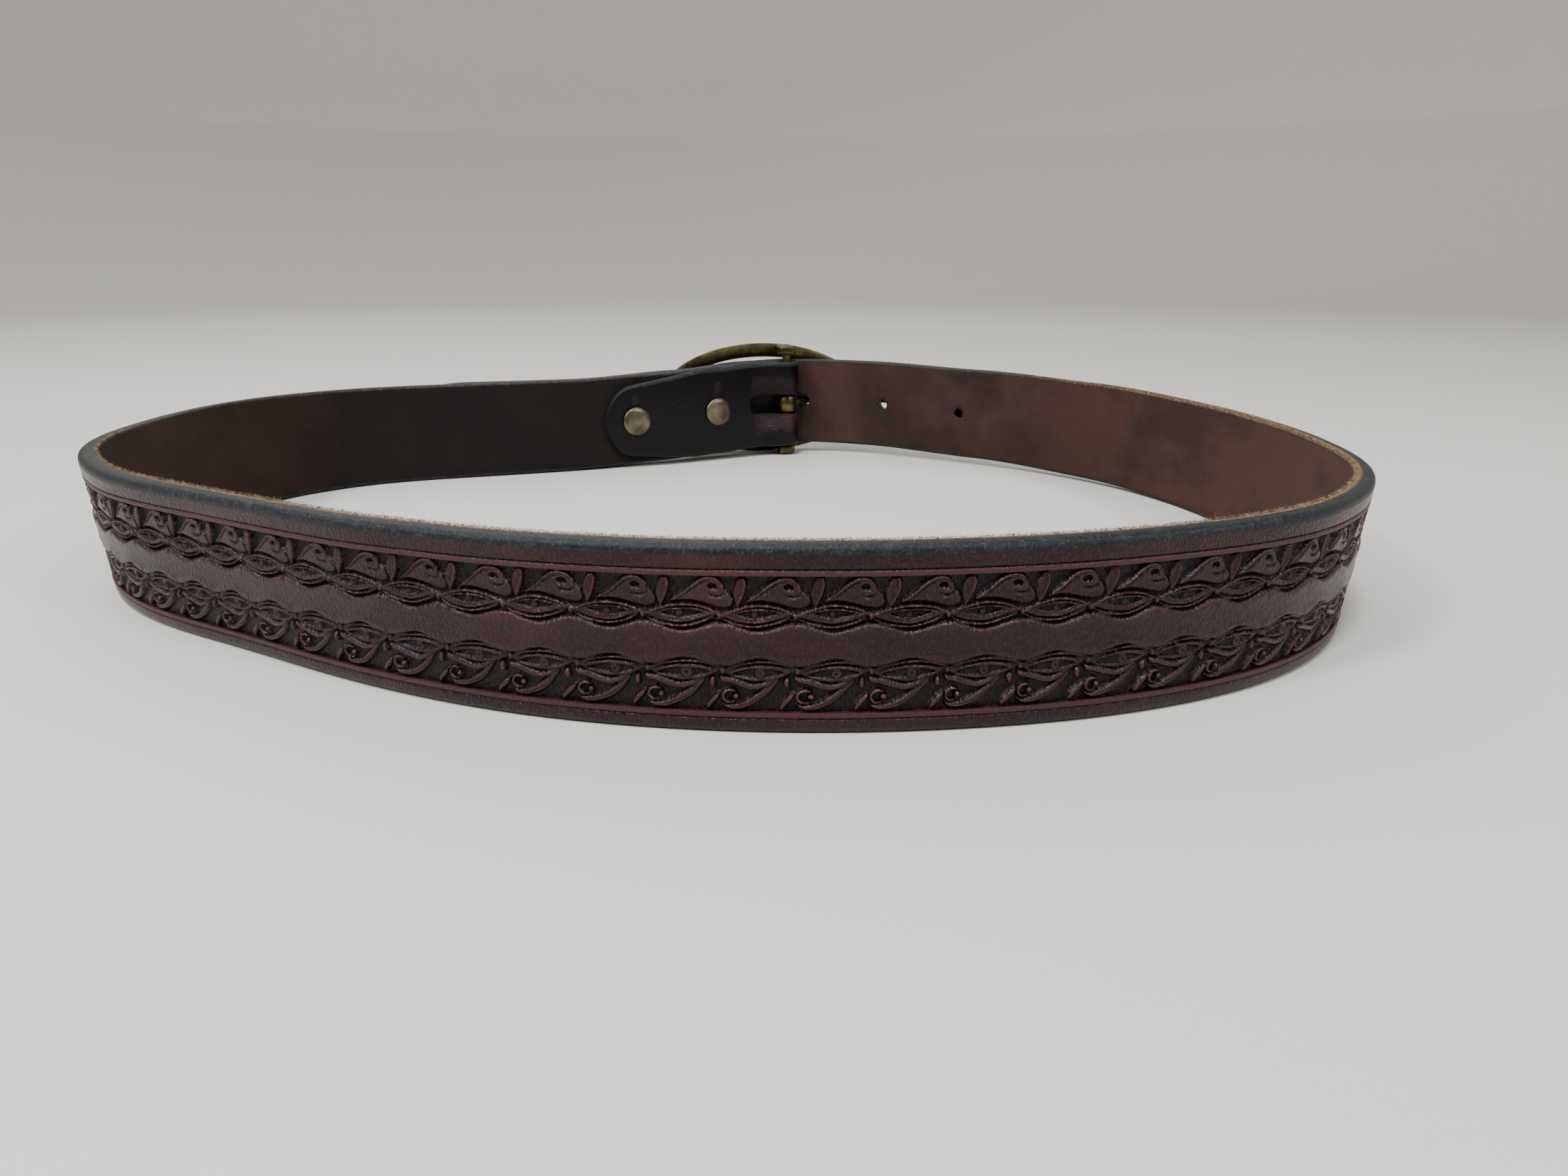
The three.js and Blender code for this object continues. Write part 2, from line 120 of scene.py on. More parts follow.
tangents = np.gradient(route, along, axis=0)


def stations(distance, lift=None):
    """Foot, outward and upward directions of the strap at distances from the bar."""
    d = np.clip(distance, 0, LOOP_LENGTH)
    point = np.stack([np.interp(d, along, route[:, k]) for k in (0, 1)], 1)
    way = np.stack([np.interp(d, along, tangents[:, k]) for k in (0, 1)], 1)
    way /= np.linalg.norm(way, axis=1)[:, None]
    share = d / LOOP_LENGTH
    lean = np.radians(read_table(LEAN, share))
    normal = np.stack([way[:, 1], -way[:, 0], 0 * d], 1)
    out = normal * np.cos(lean)[:, None]
    out[:, 2] = -np.sin(lean)
    up = normal * np.sin(lean)[:, None]
    up[:, 2] = np.cos(lean)
    height = BAR_LIFT * read_table(LIFT, share) if lift is None else lift
    foot = np.column_stack([point, height + np.sin(np.abs(lean)) * THICK / 2])
    return foot, out, up


def free_stations(distance):
    foot, out, up = stations(distance, BAR_LIFT * read_table(FREE_LIFT, distance / FREE_LENGTH))
    beside = foot + out * LAYER
    beside[:, 2] = foot[:, 2]
    return beside, out, up


def rounded_end(from_end, length):
    return np.sqrt(1 - (1 - np.minimum(from_end / length, 1)) ** 2)


def tab_half(from_end):
    taper = np.minimum(TAB_END_SHARE + (1 - TAB_END_SHARE) * from_end / TAB_TAPER, 1)
    return np.maximum(HALF * taper * rounded_end(from_end, TAB_END_ROUND), LEAST_HALF)


INNER_AT_BAR = THICK / 2 - FOLD_THICK
BAR_ACROSS = INNER_AT_BAR - GAP - BAR_RADIUS
TAB_FLESH_AT_BAR = BAR_ACROSS - BAR_RADIUS - GAP
FOLD_RADIUS = BAR_RADIUS + GAP
TAB_REACH = TAB_LENGTH - FOLD_RADIUS - FOLD_THICK
FOLD_LENGTH = math.pi * (FOLD_RADIUS + FOLD_THICK)
TAB_END = -FOLD_LENGTH - TAB_REACH
TIP_END = LOOP_LENGTH + FREE_LENGTH

bar_foot, bar_out, bar_up = (a[0] for a in stations(np.array([0.0])))
bar_centre = bar_foot + bar_out * BAR_ACROSS
bar_way = np.array((*start_way, 0))


def flesh_side(d):
    return -THICK / 2 + (INNER_AT_BAR + THICK / 2) * (1 - smooth(d / SKIVE_RUN))


def tab_flesh(d):
    return -THICK / 2 - GAP + (TAB_FLESH_AT_BAR + THICK / 2 + GAP) * (1 - smooth(d / SKIVE_RUN))


def places(x):
    """At distances along the leather, 0 at the bar and negative on the fold and the tab:
    foot, outward and upward directions, flesh side, grain side and half the width."""
    n = len(x)
    foot, out, up = np.zeros((n, 3)), np.zeros((n, 3)), np.zeros((n, 3))
    inner, outer, half = np.full(n, -THICK / 2), np.full(n, THICK / 2), np.full(n, HALF)
    tab = x < -FOLD_LENGTH
    fold = (x >= -FOLD_LENGTH) & (x < 0)
    loop = (x >= 0) & (x <= LOOP_LENGTH)
    free = x > LOOP_LENGTH
    d = -x[tab] - FOLD_LENGTH
    foot[tab], outward, up[tab] = stations(d)
    out[tab] = -outward
    inner[tab] = -tab_flesh(d)
    outer[tab] = inner[tab] + FOLD_THICK
    half[tab] = tab_half(TAB_REACH - d)
    angle = -x[fold, None] / FOLD_LENGTH * math.pi
    foot[fold] = bar_centre
    out[fold] = bar_out * np.cos(angle) - bar_way * np.sin(angle)
    up[fold] = bar_up
    inner[fold], outer[fold] = FOLD_RADIUS, FOLD_RADIUS + FOLD_THICK
    foot[loop], out[loop], up[loop] = stations(x[loop])
    inner[loop] = flesh_side(x[loop])
    d = x[free] - LOOP_LENGTH
    foot[free], out[free], up[free] = free_stations(d)
    half[free] = np.maximum(HALF * rounded_end(FREE_LENGTH - d, TIP_TAPER), LEAST_HALF)
    return foot, out, up, inner, outer, half


# the solid strap's own box says how far the route is moved to the part's origin
BEVEL = 1.3
foot, out, up, *_ = places(np.arange(0, LOOP_LENGTH, 1.0))
rims = np.vstack([foot + out * THICK / 2 + up * h for h in (BEVEL, WIDTH - BEVEL)])
strap_low, strap_high = (np.array(c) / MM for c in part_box("strap"))
SHIFT = np.array(((strap_low + strap_high)[0] / 2 - (rims[:, 0].min() + rims[:, 0].max()) / 2,
                  strap_low[1] - rims[:, 1].min(), 0.0))
SEAM_MERGE = 2e-6


def laid(x, share, below_grain=None, above_flesh=None):
    """Places in metres of points on the leather, by distance along it, share of its
    width from its lower edge, and depth in mm below the grain or above the flesh side."""
    xs, index = np.unique(x, return_inverse=True)
    foot, out, up, inner, outer, half = (a[index] for a in places(xs))
    across = outer - below_grain if above_flesh is None else inner + above_flesh
    rise = HALF + (share - 0.5) * 2 * half
    return (foot + out * across[:, None] + up * rise[:, None] + SHIFT) * MM


def mapped_grid(columns, rows):
    """A bmesh grid with the column and row number of each of its vertices."""
    bm = bmesh.new()
    bmesh.ops.create_grid(bm, x_segments=columns - 1, y_segments=rows - 1, size=0.5)
    place = np.array([v.co[:2] for v in bm.verts]) + 0.5
    column = np.rint(place[:, 0] * (columns - 1)).astype(int)
    row = np.rint(place[:, 1] * (rows - 1)).astype(int)
    return bm, column, row


def sealed(bm, merge):
    """Joins the long seam of a grid rolled into a tube, and closes its ends."""
    bmesh.ops.remove_doubles(bm, verts=bm.verts, dist=merge)
    bmesh.ops.holes_fill(bm, edges=[e for e in bm.edges if e.is_boundary], sides=0)
    bmesh.ops.recalc_face_normals(bm, faces=bm.faces)


def closed_leather(bm, co, marks):
    """Moves a grid's vertices to their places and seals it. marks are named floats for
    each vertex, kept as attributes."""
    for v, place in zip(bm.verts, co):
        v.co = place
    for name, values in marks.items():
        layer = bm.verts.layers.float.new(name)
        for v, value in zip(bm.verts, values):
            v[layer] = value
    sealed(bm, SEAM_MERGE)


def make_piece(name, bm, finishes, sharp_degrees=55):
    mesh = bpy.data.meshes.new(name)
    bm.to_mesh(mesh)
    bm.free()
    piece = bpy.data.objects.new(name, mesh)
    bpy.context.scene.collection.objects.link(piece)
    for finish in finishes:
        mesh.materials.append(finish.data)
    mesh.polygons.foreach_set("use_smooth", [True] * len(mesh.polygons))
    mesh.set_sharp_from_angle(angle=math.radians(sharp_degrees))
    return piece


def linear(red, green, blue):
    """A colour given as display values from 0 to 255, made linear for a socket."""
    parts = np.array((red, green, blue)) / 255
    return (*np.where(parts <= 0.04045, parts / 12.92, ((parts + 0.055) / 1.055) ** 2.4), 1)


class Tone:
    """A socket of a finish, with operators that add Math nodes."""

    def __init__(self, finish, socket):
        self.finish = finish
        self.socket = socket

    def math(self, operation, *others, first=None):
        terms = (self, *others) if first is None else (first, self)
        return self.finish.node("ShaderNodeMath", {"operation": operation}, dict(enumerate(terms)))

    def __add__(self, other):
        return self.math("ADD", other)

    def __sub__(self, other):
        return self.math("SUBTRACT", other)

    def __mul__(self, other):
        return self.math("MULTIPLY", other)

    def __rsub__(self, other):
        return self.math("SUBTRACT", first=other)

    def __neg__(self):
        return self.math("MULTIPLY", -1.0)

    __radd__ = __add__
    __rmul__ = __mul__

    def clamp(self):
        return self.math("MINIMUM", 1.0).math("MAXIMUM", 0.0)


class Finish:
    """One material, built up node by node in front of its Principled BSDF."""

    def __init__(self, name, **constants):
        self.data = bpy.data.materials.new(name)
        self.data.use_nodes = True
        self.tree = self.data.node_tree
        self.shader = self.tree.nodes["Principled BSDF"]
        for socket, value in constants.items():
            self.shader.inputs[socket.replace("_", " ")].default_value = value

    def node(self, kind, settings, values, output=0):
        made = self.tree.nodes.new(kind)
        for key, value in settings.items():
            if key == "stops":
                elements = made.color_ramp.elements
                while len(elements) < len(value):
                    elements.new(0.5)
                for element, (place, colour) in zip(elements, value):
                    element.position = place
                    element.color = colour
            else:
                setattr(made, key, value)
        for key, value in values.items():
            if isinstance(value, Tone):
                self.tree.links.new(value.socket, made.inputs[key])
            else:
                made.inputs[key].default_value = value
        return Tone(self, made.outputs[output])

    def place(self):
        return self.node("ShaderNodeTexCoord", {}, {}, "Object")

    def mark(self, name):
        return self.node("ShaderNodeAttribute", {"attribute_name": name}, {}, "Fac")

    def noise(self, vector, scale, detail=3.0, roughness=0.55):
        return self.node("ShaderNodeTexNoise", {}, {
            "Vector": vector, "Scale": scale, "Detail": detail, "Roughness": roughness})

    def stretched(self, vector, scale):
        return self.node("ShaderNodeMapping", {}, {"Vector": vector, "Scale": scale})

    def ramp(self, value, stops):
        return self.node("ShaderNodeValToRGB", {"stops": list(stops)}, {0: value})

    def mix(self, factor, first, second):
        return self.node("ShaderNodeMix", {"data_type": "RGBA"}, {0: factor, 6: first, 7: second}, 2)

    def bump(self, height, strength, distance, under=None):
        values = {"Height": height, "Strength": strength, "Distance": distance}
        if under is not None:
            values["Normal"] = under
        return self.node("ShaderNodeBump", {}, values)

    def out(self, socket, value):
        self.tree.links.new(value.socket, self.shader.inputs[socket])


OILED = linear(27, 12, 15), linear(40, 19, 22), linear(56, 28, 29)
RUBBED, DEEP_DYE_AND_SHADE = linear(92, 61, 60), linear(13, 6, 8)
WORN_BEAD, WRINKLED, NEAR_BLACK_TAB = linear(80, 47, 46), linear(80, 49, 50), linear(7, 4, 6)
SHADED_LEFT_FLESH = linear(14, 10, 9), linear(29, 22, 19)
WARM = linear(38, 25, 21), linear(54, 35, 29), linear(72, 47, 39)
ORANGE, STAINED = linear(78, 50, 39), linear(36, 25, 23)
LEFT_END, FLESH_FIBRE = linear(58, 36, 27), linear(26, 18, 16)
EDGE_DYE = linear(13, 17, 20), linear(22, 29, 34), linear(42, 51, 57)
BARE_FIBRE = linear(50, 38, 29), linear(104, 80, 58), linear(160, 130, 96)


def finish_grain(f):
    """Oiled dark reddish-brown grain: near black where the stamps went deep, partly dark dye held
    there and partly painted shade, redder and duller on the beads and ridges, wrinkled finely
    across its length."""
    leather = f.node("ShaderNodeCombineXYZ", {}, {0: f.mark("along"), 1: f.mark("up")})
    cloud = f.noise(f.place(), 30, 4)
    hollow, bead, tab = f.mark("hollow"), f.mark("bead"), f.mark("tab")
    colour = f.ramp(cloud, zip((.34, .52, .70), OILED))
    rubbed = (-hollow * 1.8).clamp() * (0.4 + 0.6 * f.noise(leather, 900, 2))
    colour = f.mix(rubbed, colour, RUBBED)
    # painted shade: the stamped recesses and the grooves by the beads go near black, partly dark dye held in
    # them and partly painted shade
    colour = f.mix((hollow * 2.4).clamp(), colour, DEEP_DYE_AND_SHADE)
    colour = f.mix(bead * 0.6, colour, WORN_BEAD)
    wrinkle = f.noise(f.stretched(leather, (1, .35, 1)), 2300, 2, .55)
    colour = f.mix(((wrinkle - 0.5) * 1.6).clamp(), colour, WRINKLED)
    # the tab's grain side is painted near black, darker than the rest of the grain
    colour = f.mix(tab, colour, NEAR_BLACK_TAB)
    f.out("Base Color", colour)
    f.out("Roughness", (0.18 + 0.15 * cloud + 0.2 * bead + 0.25 * hollow).clamp())
    pebble = f.noise(leather, 1000, 3, .6)
    smoothness = 1 - 0.8 * tab
    waves = f.bump(pebble * smoothness, .60, .0007)
    f.out("Normal", f.bump(wrinkle * smoothness, .85, .0004, waves))


def finish_flesh(f):
    """Brushed flesh side, all its colours set somewhat darker as painted shade inside the loop:
    painted evenly near black on the waist's left as shade, and on its right a warm brown with
    oily black stains, more orange towards the end of the loop."""
    place = f.place()
    across = f.node("ShaderNodeSeparateXYZ", {}, {0: place}, 0)
    blotch = f.noise(place, 30, 5, .62)
    stain = f.noise(f.stretched(place, (1, 1, 1.4)), 21, 4, .6)
    wide = f.noise(place, 8, 3)
    right = ((across + 0.030 + 0.06 * (wide - 0.5)) * 14.0).clamp()
    far_right = ((across - 0.120 + 0.05 * (wide - 0.5)) * 22.0).clamp()
    # painted shade: the waist's left inside the loop is painted near black
    shaded_left_tone = f.ramp(blotch, zip((.3, .7), SHADED_LEFT_FLESH))
    warm = f.ramp(blotch, zip((.30, .5, .72), WARM))
    warm = f.mix(far_right * .75, warm, ORANGE)
    stained = ((stain - 0.50) * 9.0).clamp() * ((across - 0.05) * 30.0).clamp()
    warm = f.mix(stained * 0.6, warm, STAINED)
    colour = f.mix(right, shaded_left_tone, warm)
    left_end = ((-across - 0.148) * 45.0).clamp()
    colour = f.mix(left_end * (blotch * 1.3).clamp(), colour, LEFT_END)
    fibre = f.noise(f.stretched(place, (1, 1, .6)), 2000, 4, .7)
    f.out("Base Color", f.mix(((fibre - .5) * 1.5).clamp(), colour, FLESH_FIBRE))
    f.out("Normal", f.bump(fibre, .6, .0005))


def finish_edge(f):
    """The cut edge: blue-black dye burnished on its outer part, bare fibre inside it."""
    place = f.place()
    speck = f.noise(place, 1700, 3, .7)
    streak = f.noise(place, 420, 3)
    dye = f.ramp(streak, zip((.3, .6, .8), EDGE_DYE))
    bare = f.ramp(speck, zip((.3, .5, .7), BARE_FIBRE))
    worn = (1.15 * f.mark("bare") + (speck - 0.5) * 0.9).clamp()
    f.out("Base Color", f.mix(worn, dye, bare))
    f.out("Roughness", (0.42 + 0.5 * worn).clamp())
    f.out("Normal", f.bump(speck, .5, .0004))


grain = Finish("oiled_grain", Specular_IOR_Level=0.22)
flesh = Finish("brushed_flesh_side", Roughness=0.95, Specular_IOR_Level=0.25)
edge = Finish("dyed_edge", Specular_IOR_Level=0.2)
finish_grain(grain)
finish_flesh(flesh)
finish_edge(edge)

# the body's rows round its section: share of the width, depth in mm, and which side
STAMP_START, STAMP_TO_TAPER = 92.0, 8.0
STAMP_END = TIP_END - TIP_TAPER - STAMP_TO_TAPER
RECESS, LIP = 1.5, 0.75
UPPER_TOP, UPPER_FOOT = 6.0, 18.4
LOWER_TOP, LOWER_FOOT = 21.6, 33.5


def down_to_share(down_mm):
    return 1 - down_mm / WIDTH


FLESH_ROWS = [(v, .06, "flesh") for v in (.03, .08, .16, .25, .34, .43, .52, .61, .70, .79, .87, .93, .97)]
TOP_EDGE = [(.988, .12, "edge_flesh"), (.997, .45, "edge_flesh"), (1.0, 1.0, "edge_flesh"),
            (1.0, 1.9, "edge_flesh"), (1.0, 1.45, "edge"), (.996, .85, "edge"), (.988, .42, "edge"),
            (.977, .15, "edge"), (.966, .04, "edge")]
BEAD_ROWS = [(-1.9, 0), (-1.5, .03), (-1.36, .22), (-1.24, .26), (-1.12, .08), (-1.0, -.02), (-.55, -.06),
             (-.08, .02)]  # mm outside the stamped field, and depth
BEAD_CREST = (-1.0, -.55, -.08)
PLAIN_SHARES, LOW_PLAIN_SHARES = (.95, .925, .90), (.058, .046)
FIELD_ROWS = 6
SPLIT = 0.02  # between the grid's lines on either side of a recess's upright wall
bead_kind = {y: "bead" if y in BEAD_CREST else "grain" for y, _ in BEAD_ROWS}
upper_bead = [(down_to_share(UPPER_TOP + y), d, bead_kind[y]) for y, d in BEAD_ROWS]
lower_bead = [(down_to_share(LOWER_FOOT - y), d, bead_kind[y]) for y, d in reversed(BEAD_ROWS)]
field_rows = [(down_to_share(y), 0, "field")
              for y in np.linspace(UPPER_FOOT + SPLIT, LOWER_TOP - SPLIT, FIELD_ROWS)]
BOTTOM_EDGE = [(1 - v, d, "rim" if k == "edge" and d < .5 else k) for v, d, k in reversed(TOP_EDGE)]
rows = FLESH_ROWS + TOP_EDGE + [(v, 0, "grain") for v in PLAIN_SHARES] + upper_bead
rows += [(down_to_share(UPPER_TOP), LIP, "lip"), (down_to_share(UPPER_TOP), RECESS, "floor"),
         (down_to_share(UPPER_FOOT), RECESS, "floor")]
rows += field_rows
rows += [(down_to_share(LOWER_TOP), RECESS, "floor"), (down_to_share(LOWER_FOOT), RECESS, "floor"),
         (down_to_share(LOWER_FOOT), LIP, "lip")]
rows += lower_bead + [(v, 0, "grain") for v in LOW_PLAIN_SHARES] + BOTTOM_EDGE
rows.append(rows[0])
row_share, row_depth = np.array([r[0] for r in rows]), np.array([float(r[1]) for r in rows])
row_kind = np.array([r[2] for r in rows])

END_STEPS = np.array([0.0, .25, .7, 1.5, 2.6, 4.0])
STEP, FOLD_STEPS = 1.45, 22
AFTER_TAB_END, BEFORE_SPLIT, AFTER_SPLIT, BEFORE_TIP = 5.3, 0.8, 1.2, 5
run = np.unique(np.concatenate([
    TAB_END + END_STEPS, np.arange(TAB_END + AFTER_TAB_END, -FOLD_LENGTH, STEP),
    np.linspace(-FOLD_LENGTH, 0, FOLD_STEPS)[:-1], np.arange(0, STAMP_START - BEFORE_SPLIT, STEP),
    [STAMP_START - SPLIT], np.arange(STAMP_START + SPLIT, STAMP_END - BEFORE_SPLIT, STEP),
    [STAMP_END - SPLIT, STAMP_END + SPLIT], np.arange(STAMP_END + AFTER_SPLIT, TIP_END - BEFORE_TIP, STEP),
    TIP_END - END_STEPS[::-1]]))

PITCH = 14.2
STAMP_PHASE, STAMP_FADE = 87.0, 4
FIELD_RISE, PUFF, PUFF_OUT, PUFF_WIDE = 0.12, 0.20, 1.1, 1.2
UPPER_SCALLOPS, LOWER_SCALLOPS, SCALLOP_RISE = 15.85, 23.45, 0.80  # mm down the strap
UPPER_KNOT, LOWER_KNOT = 3.3, 2.8  # where scallops meet, mm before a blade's foot


def between(x, start, start_fade, end, end_fade):
    """1 between two places along the leather, rising and falling just inside them in mm."""
    return smooth((x - start) / start_fade) * smooth((end - x) / end_fade)


def stamped_share(x):
    return between(x, STAMP_START, STAMP_FADE, STAMP_END, STAMP_FADE)


def field_edges(u, down_mm):
    """How far places lie inside the plain field from its upper and lower scalloped edges."""
    upper = down_mm - UPPER_SCALLOPS + SCALLOP_RISE * np.cos(2 * np.pi * (u + UPPER_KNOT) / PITCH)
    lower = LOWER_SCALLOPS + SCALLOP_RISE * np.cos(2 * np.pi * (u + LOWER_KNOT) / PITCH) - down_mm
    return upper, lower


def field_height(u, down_mm):
    """The plain field between the borders swells beside the strikes."""
    upper, lower = field_edges(u, down_mm)
    return FIELD_RISE + PUFF * (np.exp(-((upper - PUFF_OUT) / PUFF_WIDE) ** 2)
                                + np.exp(-((lower - PUFF_OUT) / PUFF_WIDE) ** 2))


BEADS_START, BEADS_START_FADE, BEADS_TO_TIP, BEADS_END_FADE = 44, 10, 14, 8
body, column, row = mapped_grid(len(run), len(rows))
x, share, depth, kind = run[column], row_share[row], row_depth[row].copy(), row_kind[row]
down_mm = (1 - share) * WIDTH
stamped_here = (x > STAMP_START) & (x < STAMP_END)
depth[np.isin(kind, ("lip", "floor")) & ~stamped_here] = 0
border = between(x, BEADS_START, BEADS_START_FADE, TIP_END - BEADS_TO_TIP, BEADS_END_FADE)
struck_rows = np.isin(kind, ("grain", "bead"))
depth[struck_rows] *= border[struck_rows]
in_field = kind == "field"
depth[in_field] = -(field_height(x - STAMP_PHASE, down_mm) * stamped_share(x))[in_field]
on_flesh = np.isin(kind, ("flesh", "edge_flesh"))
# the brushed flesh side is a little uneven
brushed = 0.05 * np.sin(x * .11 + share * 7) + 0.03 * np.sin(x * .29 - share * 11)
depth[kind == "flesh"] += brushed[kind == "flesh"]
co = np.where(on_flesh[:, None], laid(x, share, above_flesh=depth), laid(x, share, below_grain=depth))

GRAIN, FLESH, EDGE = 0, 1, 2
layer_of = {"flesh": FLESH, "edge_flesh": EDGE, "edge": EDGE}
side = [layer_of.get(k, GRAIN) for k in kind]
for face in body.faces:
    sides = [side[v.index] for v in face.verts]
    face.material_index = EDGE if EDGE in sides else min(sides)

# bare fibre shows on the inner part of the top edge, a thin margin in front and most of
# the edge at the waist's right
BARE_LEAST, BARE_FRONT, BARE_RIGHT, BARE_FADE, BARE_BEHIND = 0.6, 0.9, 1.4, 1.0, 0.15
GROOVE_DEPTH, GROOVE_TONE, TAB_MARK_RUN = 0.1, 0.35, 8
in_front = between(x, 300, 120, 915, 80)
at_right = between(x, 730, 90, 925, 60)
from_flesh = np.where(kind == "edge", THICK - row_depth[row], row_depth[row])
reach = BARE_LEAST + BARE_FRONT * in_front + BARE_RIGHT * at_right
bare = smooth((reach + BARE_FADE / 2 - from_flesh) / BARE_FADE)
bare *= BARE_BEHIND + (1 - BARE_BEHIND) * in_front
bare *= (down_mm < HALF) & np.isin(kind, ("edge_flesh", "edge"))
# the grooves beside the beads are painted darker, partly dark dye held there and partly painted shade
in_groove = (kind == "grain") & (row_depth[row] > GROOVE_DEPTH)
closed_leather(body, co, {
    "along": x * MM, "up": share * WIDTH * MM, "bare": bare, "bead": (kind == "bead") * border,
    "hollow": in_groove * border * GROOVE_TONE, "tab": smooth((TAB_MARK_RUN - x) / TAB_MARK_RUN)})
for face in body.faces:
    if len(face.verts) > 4:
        face.material_index = EDGE
strap = make_piece("strap_leather", body, (grain, flesh, edge))

# Stamped borders: two rows struck into the damp grain side with steel stamps, eyes under
# curled leaves and blades above, and eyes over lobes and crescents below. Each row is
# made as fine slabs let into the strap's body.
# Sizes are mm from a blade's foot along the strap, and down from the strap's top edge.
# A strike gives its kind, the level of its top or bottom, the run of its slope or half
# its width, and the points of its outline or line.
GROUND = -1.15
UPPER_STRIKES = [
    ("raise", -.12, .55, [(1.85, 11.1), (4.1, 9.6), (6.2, 7.8), (7.8, 6.8), (9.1, 6.45), (10.4, 6.75),
        (11.3, 7.6), (12.0, 8.6), (13.0, 9.5), (13.5, 10.8), (13.1, 12.0), (11.6, 12.6),
        (9.6, 12.2), (7.0, 11.4), (4.4, 11.0), (2.8, 11.25)]),
    ("tilt", .42, 2.6, [(0, 10.0), (14, 10.4)]),
    ("groove", .34, .24, [(2.9, 10.9), (4.6, 9.7), (6.5, 8.15), (8.0, 7.25), (9.2, 7.0)]),
    ("ridge", .0, .34, [(1.85, 11.1), (4.1, 9.6), (6.2, 7.8), (7.8, 6.75), (9.2, 6.4), (10.4, 6.75),
        (11.2, 7.5)]),
    ("sink", -1.1, .5, [(8.5, 8.1), (9.0, 7.5), (9.9, 7.35), (10.6, 7.8), (10.7, 8.5), (10.1, 9.0),
        (9.2, 8.9)]),
    ("ridge", -.02, .36, [(11.3, 7.5), (11.5, 8.4), (11.0, 9.15), (10.2, 9.25), (9.7, 8.85), (9.85, 8.4)]),
    ("groove", .45, .26, [(11.9, 8.9), (11.6, 9.6), (10.8, 10.0), (9.6, 9.9), (8.9, 9.4)]),
    ("ridge", .0, .38, [(7.6, 9.4), (8.7, 10.15), (9.6, 10.55), (10.8, 10.5), (11.8, 10.0), (12.5, 9.6)]),
    ("raise", -.28, .35, [(.6, 6.2), (1.2, 6.6), (1.5, 7.8), (1.25, 9.2), (.7, 10.7), (.0, 12.0),
        (-.35, 10.9), (-.6, 9.4), (-.3, 8.0), (.15, 6.9)]),
    ("ridge", .02, .30, [(1.2, 6.2), (1.6, 7.5), (1.25, 9.2), (.6, 10.7), (-.1, 12.2)]),
    ("ridge", -.15, .2, [(.4, 6.4), (-.2, 7.8), (-.6, 9.4), (-.4, 10.8), (-.1, 12.0)]),
    ("raise", -.25, .3, [(-3.3, 13.7), (-.65, 12.75), (2.5, 11.95), (5.4, 11.85), (8.1, 12.3), (10.8, 13.4),
        (9.1, 14.3), (6.5, 15.3), (3.8, 16.0), (.65, 15.6), (-1.7, 14.7)]),
    ("sink", -.95, .42, [(-.7, 13.3), (1.2, 12.75), (3.3, 12.5), (5.8, 12.6), (8.3, 13.0), (6.1, 14.0),
        (3.6, 14.5), (1.2, 14.1)]),
    ("dome", -.24, .78, [(3.5, 13.55)]),
    ("ridge", .02, .28, [(-3.3, 13.8), (-.65, 12.75), (2.5, 11.9), (5.4, 11.85), (8.1, 12.35),
        (10.4, 13.3)]),
    ("groove", .5, .2, [(-1.6, 13.45), (.2, 12.85), (2.6, 12.3), (5.4, 12.25), (7.9, 12.75), (9.6, 13.4)]),
    ("ridge", -.04, .23, [(-1.0, 13.55), (.6, 13.0), (2.8, 12.62), (5.4, 12.6), (7.6, 13.0), (8.8, 13.3)]),
    ("ridge", .0, .28, [(-1.7, 14.0), (.6, 14.75), (3.7, 15.1), (6.4, 14.5), (9.0, 13.5), (10.6, 13.0)]),
    ("groove", .55, .22, [(-2.4, 14.25), (.2, 15.2), (3.7, 15.55), (6.8, 14.9), (9.4, 13.8)]),
    ("ridge", .02, .26, [(-3.0, 14.4), (-.2, 15.55), (3.7, 15.98), (7.2, 15.25), (10.0, 14.1)]),
    ("ridge", .06, .5, [(-3.3, 13.3), (-3.4, 14.5)]),
]
